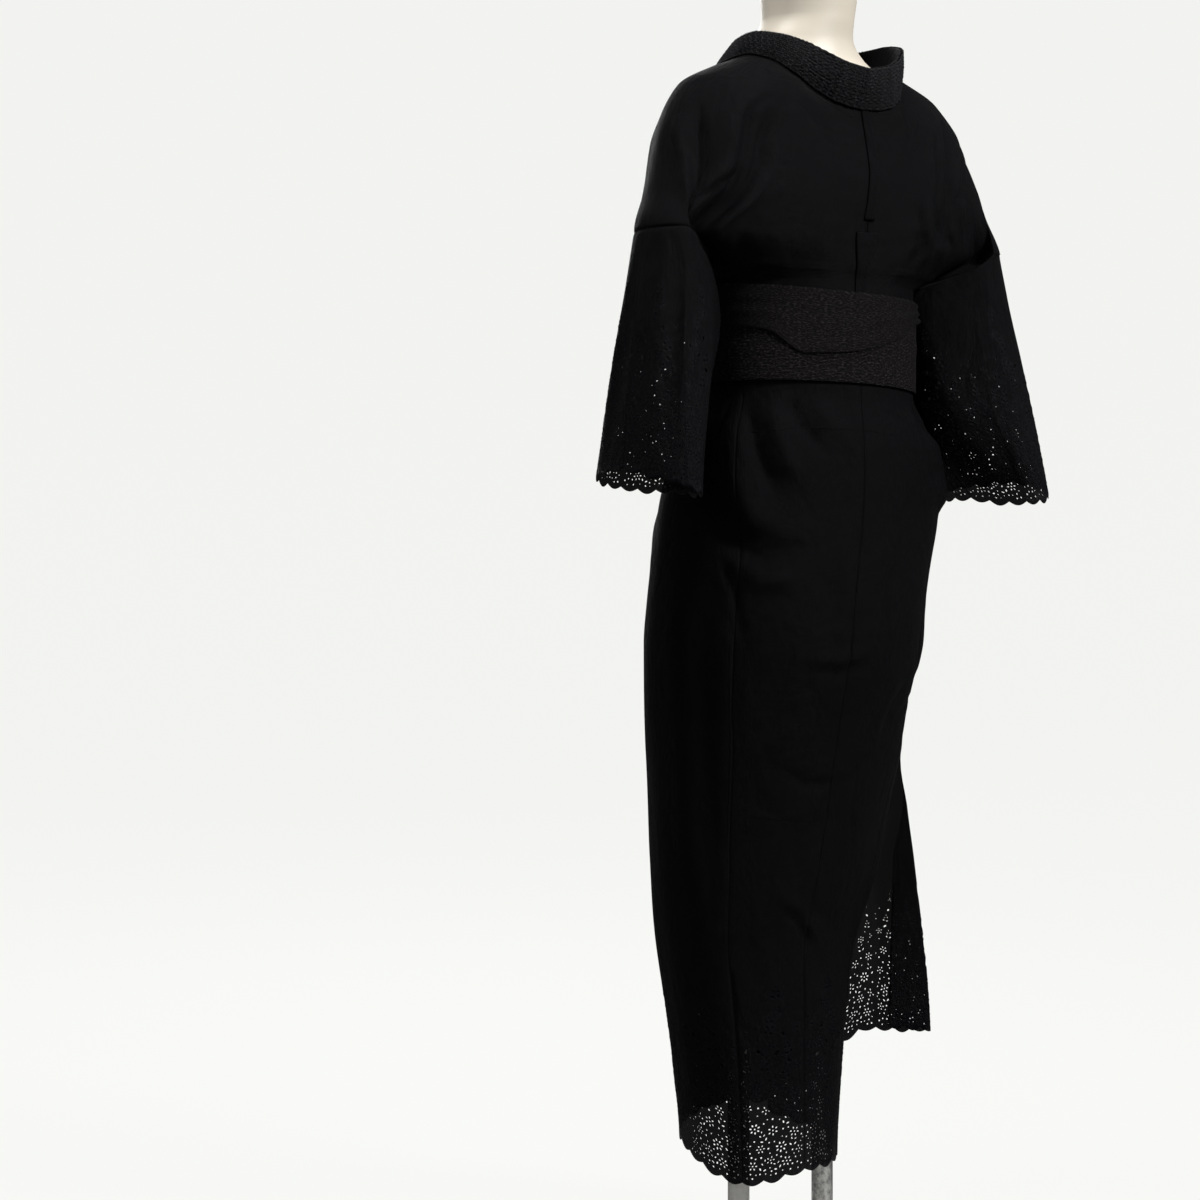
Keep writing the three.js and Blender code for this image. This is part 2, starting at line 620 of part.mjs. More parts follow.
// ---- Sleeves -------------------------------------------------------------------------
const SLEEVE_ROWS = [0, 11, 23, 36, 50, 66, 86, 112, 145, 185, 230, 275].map((value) => value / 275);
const SLEEVE_CELLS = 2 * ARM_CELLS;
function sleeveHalf(side, isFront) {
  const rim = { x: 248, y: 30, wide: 33, deep: 90 };
  const along = SLEEVE_ROWS.length - 1;
  const shareOf = (column) => (isFront ? mix(0.5, 1, column / SLEEVE_CELLS) : mix(0, 0.5, column / SLEEVE_CELLS));
  const point = (column, row) => {
    const share = shareOf(column);
    const seam = sleeveSeam(side, share);
    seam.z -= SEAM_GAP + 5 * (1 - smooth(0, 0.32, Math.min(share, 1 - share)));
    const turn = radians(360 * share);
    const rimX = rim.x - rim.wide * Math.cos(turn);
    const rimY = rim.y + rim.deep * Math.sin(turn);
    const inner = 0.5 + 0.5 * Math.cos(turn);
    const rimZ = 893 - 22 * inner - 14 * Math.max(0, Math.sin(turn)) + (row === 0 ? scallop(column * 18) : 0);
    const up = SLEEVE_ROWS[row];
    const grow = up ** 1.15;
    const wave = 4 * Math.sin(Math.PI * up) * Math.sin(6 * turn + side) * Math.abs(Math.sin(turn));
    const isCut = column === 0 || column === SLEEVE_CELLS;
    const cut = isCut ? SEAM_GAP / 2 * (isFront ? -1 : 1) : 0;
    const isArmpit = share === 0 || share === 1;
    const cutHere = isArmpit ? cut * (1 - up ** 3) : cut;
    return new THREE.Vector3(
      mix(side * rimX, seam.x, grow) - side * wave,
      mix(rimY, seam.y, grow) + cutHere,
      mix(rimZ, seam.z, up),
    );
  };
  const normalAt = (column, row, normal) => {
    if (row === along) {
      normal.copy(sleeveSeamNormal(side, shareOf(column)));
      return;
    }
    if (column === 0 || column === SLEEVE_CELLS) {
      normal.y = 0;
    }
    normal.normalize();
  };
  const place = side > 0 ? "left" : "right";
  return sheetSolid({
    name: `${place}_sleeve_${isFront ? "front" : "back"}`,
    material: laceMaterial,
    across: SLEEVE_CELLS,
    along,
    point,
    wall: CLOTH,
    normalAt,
    holes: (column, row) => (row < 7 ? laceHole(column, row) : null),
    flip: side > 0,
  });
}

// ---- Collar --------------------------------------------------------------------------
// Free edge of the collar round the neck, for the same stations as the seam edge.
const COLLAR_STATIONS = [
  { angle: 0, freeX: 0, freeY: 105, freeZ: 1346 },
  { angle: 14, freeX: 30, freeY: 97, freeZ: 1358 },
  { angle: 24, freeX: 55, freeY: 72, freeZ: 1379 },
  { angle: 47, freeX: 74, freeY: 40, freeZ: 1393 },
  { angle: 90, freeX: 82, freeY: 0, freeZ: 1399 },
  { angle: 120, freeX: 76, freeY: -40, freeZ: 1388 },
  { angle: 146, freeX: 64, freeY: -70, freeZ: 1370 },
  { angle: 160, freeX: 40, freeY: -87, freeZ: 1335 },
  { angle: 169, freeX: 12, freeY: -109, freeZ: 1283 },
  { angle: 178, freeX: -22, freeY: -121, freeZ: 1214 },
];
// Heights of the collar's stations below the neck seam, down to its end.
const CROSS_LEVELS = [1146, 1120, 1112, 1107, 1045, 984, 950, 905, 850, COLLAR_END_Z + SEAM_GAP];
// One point of the collar: station from 0 at the nape to its end, width share from seam to free edge.
function collarPoint(side, station, share) {
  const line = necklines.get(side);
  const neckCells = line.length - 1;
  const under = side < 0 ? -UNDER_LAYER : 0;
  if (station <= neckCells) {
    const angle = station === neckCells ? 178 : Math.min(178, shoulderAngle(station, 1200));
    const depth = -under * smooth(100, 140, angle);
    const free = new THREE.Vector3(
      side * tableValue(COLLAR_STATIONS, "angle", angle, "freeX"),
      tableValue(COLLAR_STATIONS, "angle", angle, "freeY") + depth,
      tableValue(COLLAR_STATIONS, "angle", angle, "freeZ"),
    );
    const toFree = free.clone().sub(line[station]).normalize();
    const spot = line[station].clone().addScaledVector(toFree, 2.4 * SEAM_GAP).lerp(free, share);
    const lean = new THREE.Vector3(side * Math.sin(radians(angle)), Math.cos(radians(angle)), 0);
    return spot.addScaledVector(lean, 2 * Math.sin(Math.PI * share) * (angle < 100 ? 1 : 0.5));
  }
  const z = CROSS_LEVELS[station - neckCells - 1];
  const grown = clamp((1172 - z) / 60);
  const seamAngle = z > WRAP_Z ? frontEnd(z) : edgeAngle("collar", z);
  const width = degreesOf(COLLAR_WIDTH, seamAngle, z) * mix(0.5, 1, grown);
  const angle = side * (seamAngle + degreesOf(SEAM_GAP * 1.3, seamAngle, z) + width * share);
  return ringPoint(angle, z + 40 * (1 - grown) * share, under);
}

function collarBand(name, material, inset, raised, wall, cells, wavy) {
  const rows = 2;
  const point = (column, row) => {
    const side = column < cells ? -1 : 1;
    const station = Math.abs(column - cells);
    const bump = wavy && row === rows ? 0.03 * (column % 2) : 0;
    return collarPoint(side, station, mix(inset, 1 - inset - bump, row / rows));
  };
  return sheetSolid({ name, material, across: 2 * cells, along: rows, point, wall, raised, flip: true });
}

// ---- Belt and strap ------------------------------------------------------------------
const BELT_LOW = [
  { angle: -180, z: 988 }, { angle: -60, z: 988 }, { angle: 0, z: 992 }, { angle: 60, z: 994 }, { angle: 180, z: 988 },
];
const BELT_HIGH = [
  { angle: -180, z: 1094 }, { angle: -40, z: 1093 }, { angle: 0, z: 1094 }, { angle: 40, z: 1099 },
  { angle: 75, z: 1103 }, { angle: 180, z: 1094 },
];
const SECOND_LOW = [
  { angle: -180, z: 1050 }, { angle: -45, z: 1066 }, { angle: -20, z: 1042 }, { angle: 10, z: 1026 },
  { angle: 30, z: 1024 }, { angle: 50, z: 1052 }, { angle: 90, z: 1058 }, { angle: 180, z: 1050 },
];
function beltWrap(name, low, high, raised, highCut, along) {
  const across = 48;
  const point = (column, row) => {
    const angle = -180 + 360 * (column % across) / across;
    const bottom = tableValue(low, "angle", angle, "z");
    const top = tableValue(high, "angle", angle, "z") - highCut;
    const share = row / along;
    const z = mix(bottom, top, share);
    return ringPoint(angle, 1045, raised + 0.5 * Math.sin(Math.PI * share)).setZ(z);
  };
  return tubeSolid(name, beltMaterial, across, along, point, BELT_WALL);
}

// A closed ring of cloth, open at the top and the bottom.
function tubeSolid(name, material, across, along, point, wall) {
  const vertices = [];
  const put = (...spots) => spots.forEach((spot) => vertices.push(spot.x, spot.y, spot.z));
  const outer = (column, row) => point((column + across) % across, row);
  const inner = (column, row) => {
    const spot = outer(column, row);
    const tangent = outer(column + 1, row).sub(outer(column - 1, row));
    const normal = new THREE.Vector3(-tangent.y, tangent.x, 0).normalize();
    return spot.addScaledVector(normal, -wall);
  };
  for (let column = 0; column < across; column += 1) {
    const next = column + 1;
    for (let row = 0; row < along; row += 1) {
      const [a, b, c, d] = [outer(column, row), outer(next, row), outer(next, row + 1), outer(column, row + 1)];
      put(b, a, d, b, d, c);
      const [e, f, g, h] = [inner(column, row), inner(next, row), inner(next, row + 1), inner(column, row + 1)];
      put(e, f, h, f, g, h);
    }
    put(outer(column, 0), outer(next, 0), inner(next, 0), outer(column, 0), inner(next, 0), inner(column, 0));
    put(outer(next, along), outer(column, along), inner(column, along));
    put(outer(next, along), inner(column, along), inner(next, along));
  }
  return meshOf(name, vertices, material);
}

// The strap lies on the body panels' own rows at the centre back.
const BACK_LEVELS = [984, 1045, 1107, 1112];
for (let row = 0; row <= SHOULDER_ROWS; row += 1) {
  BACK_LEVELS.push(mix(WRAP_Z, 1302, row / SHOULDER_ROWS));
}
function strap(name, halfWidth, low, high) {
  const heights = [low, ...BACK_LEVELS.filter((level) => level > low && level < high), high];
  const backPoint = (angle, z) => {
    const next = BACK_LEVELS.findIndex((level) => level >= z);
    const spots = [BACK_LEVELS[next - 1], BACK_LEVELS[next]].map((level) => ringPoint(angle, level, 0, foldOut(angle, level)));
    return spots[0].lerp(spots[1], (z - BACK_LEVELS[next - 1]) / (BACK_LEVELS[next] - BACK_LEVELS[next - 1]));
  };
  const rows = heights.length - 1;
  const point = (column, row) => {
    const angle = -halfWidth * (1 - 2 * column / 4) / 100 * 180 / Math.PI;
    return backPoint(angle, heights[row]);
  };
  const raised = STRAP_WALL + STRAP_GAP;
  return sheetSolid({ name, material: clothMaterial, across: 4, along: rows, point, wall: STRAP_WALL, raised, flip: true });
}

// ---- Stand and form ------------------------------------------------------------------
const FORM_TOP = [
  { z: 1120, cx: 0, cy: -12, a: 138, b: 92 },
  { z: 1180, cx: 0, cy: -12, a: 152, b: 90 },
  { z: 1240, cx: 0, cy: -11, a: 170, b: 84 },
  { z: 1290, cx: 0, cy: -10, a: 184, b: 76 },
  { z: 1318, cx: 0, cy: -10, a: 172, b: 68 },
  { z: 1340, cx: 0, cy: -10, a: 142, b: 60 },
  { z: 1356, cx: 0, cy: -10, a: 106, b: 54 },
  { z: 1370, cx: 0, cy: -13, a: 80, b: 52 },
  { z: 1390, cx: 0, cy: -16, a: 62, b: 53 },
  { z: 1415, cx: 0, cy: -16, a: 50, b: 50 },
  { z: 1445, cx: 0, cy: -16, a: 51, b: 51 },
  { z: 1464, cx: 0, cy: -16, a: 49, b: 49 },
  { z: 1470, cx: 0, cy: -16, a: 43, b: 43 },
];
function dressForm() {
  const rings = [];
  for (const z of [FORM_BOTTOM, FORM_BOTTOM + 5, 820, 860, 900, 945, 990, 1045, 1095]) {
    const small = z === FORM_BOTTOM ? 5 : 0;
    rings.push({
      z,
      cx: tableValue(RINGS, "z", z, "cx"),
      cy: tableValue(RINGS, "z", z, "cy"),
      a: tableValue(RINGS, "z", z, "a") - FORM_CLEAR - small,
      b: tableValue(RINGS, "z", z, "back") - FORM_CLEAR - small,
      back: tableValue(RINGS, "z", z, "back") - FORM_CLEAR - small + (z === WAIST_Z ? FORM_CLEAR - FORM_SEAT : 0),
    });
  }
  return ringSolid("dress_form", formMaterial, rings.concat(FORM_TOP), 32);
}

function pole(name, x, material) {
  const low = BASE_HEIGHT + SEAM_GAP;
  const high = FORM_BOTTOM - SEAM_GAP;
  const ring = (z) => ({ z, cx: x, cy: POLE_Y, a: POLE_RADIUS, b: POLE_RADIUS });
  return ringSolid(name, material, [ring(low), ring(high)], 24);
}

function base() {
  const ring = (z, radius) => ({ z, cx: 0, cy: 0, a: radius, b: radius });
  const bevel = 1.5;
  const rings = [ring(0, BASE_RADIUS), ring(BASE_HEIGHT - bevel, BASE_RADIUS), ring(BASE_HEIGHT, BASE_RADIUS - bevel)];
  return ringSolid("stand_base", baseMaterial, rings, 48);
}

// ---- Assembly ------------------------------------------------------------------------
const juban = new THREE.Group();
juban.name = "juban_on_dress_form";
juban.add(base());
juban.add(pole("stand_pole_left", POLE_X, leftPoleMaterial));
juban.add(pole("stand_pole_right", -POLE_X, rightPoleMaterial));
juban.add(dressForm());
juban.add(bodyPanel(1));
juban.add(bodyPanel(-1));
juban.add(leftOverlap());
juban.add(rightOverlap());
for (const side of [1, -1]) {
  juban.add(sleeveHalf(side, false));
  juban.add(sleeveHalf(side, true));
}
juban.add(collarBand("collar", clothMaterial, 0, COLLAR_RAISED, COLLAR_WALL, 38, false));
juban.add(collarBand("half_collar", laceMaterial, 0.07, HALF_COLLAR_RAISED, HALF_COLLAR_WALL, 24, true));
juban.add(beltWrap("belt_first_wrap", BELT_LOW, BELT_HIGH, BELT_CLEAR + BELT_WALL, 0, 3));
juban.add(beltWrap("belt_second_wrap", SECOND_LOW, BELT_HIGH, BELT_CLEAR + 2 * BELT_WALL + 1, 2, 3));
juban.add(strap("back_strap_loop", 3, 1174, 1299));
juban.add(strap("back_strap_tab", 5, 1086, 1160));
export default juban;
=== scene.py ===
"""A long cotton juban with eyelet lace edges, tied with its belt over a dress form on two poles."""

import math

import bmesh
import bpy
import numpy as np
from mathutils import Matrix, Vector
from mathutils.geometry import delaunay_2d_cdt


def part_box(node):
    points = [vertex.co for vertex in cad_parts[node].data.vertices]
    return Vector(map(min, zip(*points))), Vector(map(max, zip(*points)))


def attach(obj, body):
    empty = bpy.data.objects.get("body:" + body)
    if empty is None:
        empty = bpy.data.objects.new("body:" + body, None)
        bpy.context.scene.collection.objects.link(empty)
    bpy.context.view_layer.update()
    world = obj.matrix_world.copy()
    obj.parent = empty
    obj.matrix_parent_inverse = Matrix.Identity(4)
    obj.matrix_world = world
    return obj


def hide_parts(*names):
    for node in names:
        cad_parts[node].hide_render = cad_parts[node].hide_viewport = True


bl_info = {
    "name": "Juban on a dress form",
    "version": (1, 0, 0),
    "blender": (4, 5, 0),
    "location": "View3D > Sidebar > Juban",
    "description": "Makes a lace-edged juban, its wound belt and the dress form that wears it",
    "category": "Add Mesh",
}

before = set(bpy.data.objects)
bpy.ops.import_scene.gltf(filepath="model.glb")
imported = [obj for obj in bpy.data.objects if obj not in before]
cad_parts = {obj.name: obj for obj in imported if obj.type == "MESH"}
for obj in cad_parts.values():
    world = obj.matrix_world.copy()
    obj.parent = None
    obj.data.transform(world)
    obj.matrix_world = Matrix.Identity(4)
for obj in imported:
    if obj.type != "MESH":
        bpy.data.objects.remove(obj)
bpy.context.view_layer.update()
MM = 0.001
UV_NAME = "cloth_mm"
RIM_NAME = "stitched"


# ---- Tables: millimetres and degrees ------------------------------------------------
def table(names, rows):
    """One array for each named column of a short table."""
    return dict(zip(names.split(), np.array(rows, float).T))


# The garment's rings: height, centre, half-width, half-depth behind and in front.
RINGS = table("z cx cy wide back front", [
    (60, 15, -80, 94, 85, 85),
    (140, 15, -80, 97, 86, 86),
    (260, 15, -82, 108, 88, 88),
    (335, 15, -84, 119, 90, 90),
    (452, 3, -80, 145, 100, 100),
    (590, -2, -65, 166, 110, 110),
    (728, -2, -50, 180, 125, 125),
    (850, -6, -32, 180, 118, 118),
    (936, -1, -18, 158, 112, 112),
    (984, 0, -15, 138, 105, 105),
    (1107, 0, -15, 138, 105, 105),
    (1120, 0, 8, 156, 85, 118),
    (1156, 0, 12, 246, 88, 130),
    (1200, -5, 5, 232, 100, 127),
    (1230, -8, 0, 223, 103, 121),
    (1290, -6, -8, 202, 100, 98),
    (1328, -3, -10, 176, 86, 82),
    (1350, 0, -8, 132, 70, 68),
    (1366, 0, -5, 92, 50, 50),
    (1380, 0, -5, 60, 40, 40),
])
NECK_SEAM = table("angle z", [
    (0, 1299), (8, 1301), (16, 1312), (26, 1335), (47, 1356), (90, 1366), (120, 1355), (146, 1338),
    (160, 1298), (169, 1248), (178, 1190), (181, 1172), (183, 1150),
])
# Side seam, overlap seam, collar seam and free edge, as ring angles by height.
FRONT_EDGES = table("z side overlap collar free", [
    (60, 46, 140, 230, 292),
    (590, 47, 140, 230, 292),
    (620, 48, 140, 230, 288),
    (790, 49, 140, 232, 250),
    (900, 56, 145, 216, 236),
    (990, 64, 155, 204, 226),
    (1045, 72, 163, 196, 218),
    (1100, 84, 174, 186, 208),
    (1120, 89, 180, 183, 200),
    (1400, 89, 181, 183, 200),
])
HEM = table("angle z", [
    (-180, 150), (-130, 136), (-90, 119), (-45, 105), (0, 101), (44, 88), (90, 116), (130, 136),
    (180, 150), (235, 166),
])
FLAP = table("z fold back", [(60, 142, 88), (236, 139, 91), (496, 115, 99), (640, 104, 100)])
FLAP_ALONG = np.array((-0.788, 0.616, 0))
FLAP_INWARD = np.array((0.616, 0.788, 0))
COLLAR_EDGE = table("angle x y z", [
    (0, 0, 105, 1343), (14, 30, 97, 1350), (24, 55, 73, 1369), (47, 75, 41, 1383), (90, 84, 0, 1390),
    (120, 76, -40, 1388), (146, 64, -70, 1370), (160, 40, -87, 1335), (169, 12, -109, 1283),
    (178, -22, -121, 1214),
])
# Each fold: height of the ridge (a trough if below zero), half-width in degrees, and its path
# as ring angle and height.
FOLDS = [
    # The upper back: the left side, then the right.
    (11, 6, [(42, 1312), (50, 1280), (52, 1209), (55, 1143), (66, 1116)]),
    (-9, 2.8, [(34, 1300), (39, 1255), (40, 1200), (43, 1145)]),
    (9, 5, [(79, 1300), (73, 1250), (70, 1208), (66, 1160)]),
    (-8, 2.6, [(67, 1290), (61, 1215), (57, 1165)]),
    (4, 4, [(47, 1226), (56, 1195), (64, 1169)]),
    (-7, 2.2, [(36, 1308), (44, 1292), (46, 1240), (46, 1180), (49, 1128)]),
    (-6.5, 2.2, [(77, 1288), (69, 1240), (65, 1200), (61, 1160), (60, 1130)]),
    (-5.5, 2, [(45, 1222), (52, 1200), (62, 1168)]),
    (-4.5, 1.8, [(31, 1228), (33, 1180), (38, 1128)]),
    (3, 2.4, [(35, 1225), (37, 1180), (42, 1128)]),
    (2.5, 2.2, [(22, 1290), (25, 1230), (27, 1170)]),
    (-6.5, 2.1, [(-38, 1306), (-29, 1262), (-23, 1200), (-22, 1150), (-28, 1122)]),
    (-6, 2.1, [(-66, 1296), (-48, 1250), (-36, 1205), (-33, 1150), (-32, 1124)]),
    (-4, 1.8, [(-14, 1200), (-16, 1150), (-15, 1124)]),
    (3, 2.4, [(-50, 1290), (-42, 1240), (-39, 1180)]),
    (9, 5, [(-39, 1312), (-26, 1243), (-18, 1171), (-23, 1122)]),
    (-8, 2.6, [(-46, 1300), (-35, 1235), (-28, 1170), (-33, 1128)]),
    (5, 5, [(-67, 1305), (-38, 1220), (-31, 1130)]),
    (-4, 3, [(-72, 1290), (-45, 1210), (-38, 1140)]),
    (3.5, 3, [(30, 1220), (35, 1165), (39, 1122)]),
    (-2.5, 2.4, [(26, 1215), (31, 1160), (35, 1122)]),
    (1.6, 3, [(8, 1180), (11, 1150), (10, 1122)]),
    (1.8, 3, [(-9, 1176), (-12, 1150), (-10, 1122)]),
    # From the belt over the seat and down the skirt.
    (-6, 5.5, [(80, 975), (77, 945), (70, 892), (59, 830), (44, 800), (30, 808)]),
    (10, 8, [(63, 962), (57, 900), (46, 840), (33, 826)]),
    (-5, 3, [(58, 968), (47, 912), (36, 866)]),
    (6, 4.5, [(47, 972), (38, 925), (29, 880)]),
    (-4, 3, [(40, 978), (30, 945), (18, 915)]),
    (4, 5, [(52, 800), (40, 770), (24, 775)]),
    (3.5, 4, [(26, 980), (20, 955), (8, 935)]),
    (-3, 1.7, [(70, 978), (68, 930), (61, 872), (48, 826), (36, 812)]),
    (-3, 1.7, [(30, 980), (38, 955), (52, 930)]),
    (-2.5, 1.6, [(-8, 980), (-14, 962), (-30, 950)]),
    (-2.5, 1.8, [(58, 800), (50, 760), (44, 700)]),
    (2.2, 2.4, [(8, 830), (4, 760), (6, 700)]),
    (-2, 2, [(-20, 800), (-16, 740), (-19, 680)]),
    (-3.5, 2.2, [(-64, 640), (-48, 628), (-34, 606)]),
    (-3, 2, [(24, 560), (12, 540), (-4, 544)]),
    (-4, 2, [(18, 402), (6, 380), (-6, 352)]),
    (-2.4, 1.8, [(-60, 286), (-40, 266), (-30, 226)]),
    (16, 22, [(-62, 952), (-64, 905), (-62, 848)]),
    (-8, 5, [(-44, 972), (-46, 925), (-49, 872)]),
    (3, 3.4, [(-34, 978), (-38, 935), (-41, 890)]),
    (-7, 4, [(-74, 975), (-80, 930), (-84, 880)]),
    (3.2, 5.5, [(-56, 740), (-56, 700), (-50, 672), (-31, 662), (-24, 622), (-21, 580)]),
    (-3, 3.5, [(-52, 664), (-38, 646), (-29, 618), (-26, 580)]),
    (2.4, 3.4, [(18, 684), (6, 680), (-6, 690)]),
    (-1.7, 3, [(16, 672), (5, 668), (-8, 676)]),
    (2.5, 5, [(20, 415), (5, 388), (-8, 362)]),
    (4, 9, [(-58, 500), (-50, 330), (-32, 242)]),
    (3, 5, [(-62, 300), (-40, 276), (-28, 236)]),
    (-3, 6, [(62, 760), (60, 600), (55, 420)]),
    (4, 8, [(78, 780), (76, 620), (70, 400)]),
    # The hidden front.
    (6, 14, [(118, 700), (122, 400), (125, 200)]),
    (5, 7, [(152, 960), (138, 880), (112, 800)]),
    (-4, 5, [(162, 960), (150, 870), (128, 780)]),
    (5, 8, [(176, 960), (172, 860), (158, 740), (150, 600)]),
    (-4, 6, [(190, 950), (186, 820), (176, 660)]),
    (4, 7, [(204, 940), (204, 780), (200, 560), (196, 320)]),
    (5, 7, [(-118, 960), (-112, 860), (-104, 740)]),
    (-4, 5, [(-104, 955), (-100, 870), (-94, 790)]),
    (4, 8, [(-140, 900), (-136, 700), (-132, 420)]),
    (5, 6, [(112, 1300), (124, 1230), (138, 1150)]),
    (-4, 4, [(122, 1290), (134, 1220), (146, 1150)]),
]
FOLDS += [(high, wide, [(-angle, z) for angle, z in path]) for high, wide, path in FOLDS[-2:]]
# Below the belt a trough's depth levels off at 3 mm and this much more, clear of the form.
FOLD_FLOOR = 3.2
BELT_LOW = table("angle z", [(-180, 988), (-60, 988), (0, 992), (60, 994), (180, 988)])
BELT_HIGH = table("angle z", [(-180, 1094), (-40, 1093), (0, 1094), (40, 1099), (75, 1103), (180, 1094)])
SECOND_LOW = table("angle z", [
    (-180, 1050), (-52, 1068), (-45, 1064), (-20, 1042), (10, 1026), (30, 1024), (50, 1050), (90, 1058),
    (180, 1050),
])
FORM_RINGS = table("z cx cy wide back front", [
    (1120, 0, -12, 138, 92, 92),
    (1180, 0, -12, 152, 90, 90),
    (1240, 0, -11, 170, 84, 84),
    (1290, 0, -10, 184, 76, 76),
    (1318, 0, -10, 172, 68, 68),
    (1340, 0, -10, 142, 60, 60),
    (1356, 0, -10, 106, 54, 54),
    (1370, 0, -13, 80, 52, 52),
    (1390, 0, -16, 62, 53, 53),
    (1415, -5, -14, 54, 53, 53),
    (1445, -6, -13, 56, 55, 55),
    (1462, -6, -13, 55, 54, 54),
    (1468, -6, -13, 51, 50, 50),
    (1470, -6, -13, 45, 44, 44),
])

# ---- Named places: millimetres ------------------------------------------------------
WRAP_Z = 1120
SLEEVE_SEAM_Z = 1156
HEM_LEVEL = 100
SEAM_GAP = -0.6
UNDER_LAYER = 3.2
COLLAR_END_Z = 790
COLLAR_WIDTH = 47
ARMPIT_SPLIT = 1.7
SLEEVE_RING = {"x": 217, "y": 21, "inner": 31, "outer": 30, "deep": 47}
SLEEVE_RIM = {"x": 248, "y": 30, "wide": 33, "deep": 90, "z": 893}
SLEEVE_LENGTH = 275
# How far the sleeves' inner sides hang in towards the belt: the left and the right one.
SLEEVE_SLACK = {1: 22, -1: 54}
# The body panel's columns: back, arm and chest, as in its pattern.
BACK_END, ARM_MIDDLE, FRONT_START, PANEL_END = 8.0, 14.0, 20.0, 28.0
COLUMN_STOPS = (0, BACK_END, ARM_MIDDLE, FRONT_START, PANEL_END)
# One repeat of the lace: its width, its height above the edge line, and its lobes.
REPEAT = 72.0
LACE_TOP = 235.0
LOBES = 3
LOBE_DEEP = 4.4
EDGE_BAND = 5.6
RIM_WIDE = 0.85
TILE_COLUMNS = np.concatenate([[0, 1.5, 3.5], np.linspace(5.5, 66.5, 36), [68.5, 70.5, 72]])
# The studio camera: its place and its way of looking in metres, and its lens in millimetres.
CAMERA_PLACE, CAMERA_WAY, CAMERA_LENS = (1.970, 2.522, 0.75), (-0.5557, -0.8349, 0), 83.49
# Studio lights: name, place and width in metres, and watts.
LIGHTS = (
    ("key", (-1.3, 2.4, 2.9), 0.7, 98),
    ("fill", (2.7, 1.5, 1.8), 1.6, 9),
    ("top", (0.9, 0.2, 3.3), 1.0, 40),
    ("front", (-1.2, -3.2, 2.4), 2.0, 60),
)


# ---- Small mathematics --------------------------------------------------------------
def linear(code):
    """An sRGB hex colour as linear red, green and blue."""
    parts = [int(code[place:place + 2], 16) / 255 for place in (1, 3, 5)]
    return [part / 12.92 if part <= 0.04045 else ((part + 0.055) / 1.055) ** 2.4 for part in parts]


def side_name(side):
    """The wearer's side: 1 is left and -1 is right."""
    return "left" if side > 0 else "right"


def mix(start, end, share):
    return start + (end - start) * share


def smooth(low, high, value):
    """Zero at low, one at high, with level ends."""
    share = np.clip((value - low) / (high - low), 0, 1)
    return share * share * (3 - 2 * share)


def along(columns, key, name, at):
    """A column's value by a cubic between rows whose slope is the harmonic mean of its neighbours."""
    places, values = columns[key], columns[name]
    slopes = np.diff(values) / np.diff(places)
    before = np.concatenate([slopes[:1], slopes])
    after = np.concatenate([slopes, slopes[-1:]])
    product = before * after
    total = np.where(product > 0, before + after, 1)
    tangents = np.where(product > 0, 2 * product / total, 0)
    index = np.clip(np.searchsorted(places, at, side="right") - 1, 0, len(slopes) - 1)
    step = places[index + 1] - places[index]
    share = np.clip((at - places[index]) / step, 0, 1)
    square, cube = share ** 2, share ** 3
    return ((2 * cube - 3 * square + 1) * values[index] + (cube - 2 * square + share) * tangents[index] * step
            + (3 * square - 2 * cube) * values[index + 1] + (cube - square) * tangents[index + 1] * step)


def edge_angle(name, z):
    return along(FRONT_EDGES, "z", name, z)


def fold_out(angle, z):
    """How far the folds push the cloth out: a bell curve of the distance to each fold's path, which
    fades at the path's ends, plus slow unevenness, and nothing under the belt. A degree of ring
    angle counts as 2 mm of height."""
    angle, z = np.broadcast_arrays(np.asarray(angle, float), np.asarray(z, float))
    total = 1.1 * np.sin(angle / 8.3 + z / 77) * np.sin(z / 51 - angle / 21)
    for high, wide, path in FOLDS:
        spots = np.array(path, float) / (1, 2)
        lengths = np.hypot(*np.diff(spots, axis=0).T)
        nearest = np.full(angle.shape, np.inf)
        place = np.zeros(angle.shape)
        for start, end, length, done in zip(spots, spots[1:], lengths, np.cumsum(lengths) - lengths):
            step = end - start
            share = np.clip(((angle - start[0]) * step[0] + (z / 2 - start[1]) * step[1]) / length ** 2, 0, 1)
            gap = np.hypot(angle - start[0] - share * step[0], z / 2 - start[1] - share * step[1])
            closer = gap < nearest
            nearest = np.where(closer, gap, nearest)
            place = np.where(closer, done + share * length, place)
        place = place / lengths.sum()
        ends = 0.25 + 0.75 * smooth(0, 0.25, place) * smooth(1, 0.75, place)
        total = total + high * ends * np.exp(-(nearest / wide) ** 2)
    gathers = 1.5 * np.sin(angle / 3.1 + 1.7 * np.sin(angle / 11)) * (0.6 + 0.4 * np.sin(angle / 17))
    total = total + gathers * (smooth(905, 968, z) * (z < 1040) + smooth(1175, 1128, z) * (z > 1040))
    total = total * (1 - smooth(955, 985, z) * (1 - smooth(1106, 1125, z)))
    return np.where((total < -3) & (z < 1045), -3 + FOLD_FLOOR * np.tanh((total + 3) / FOLD_FLOOR), total)


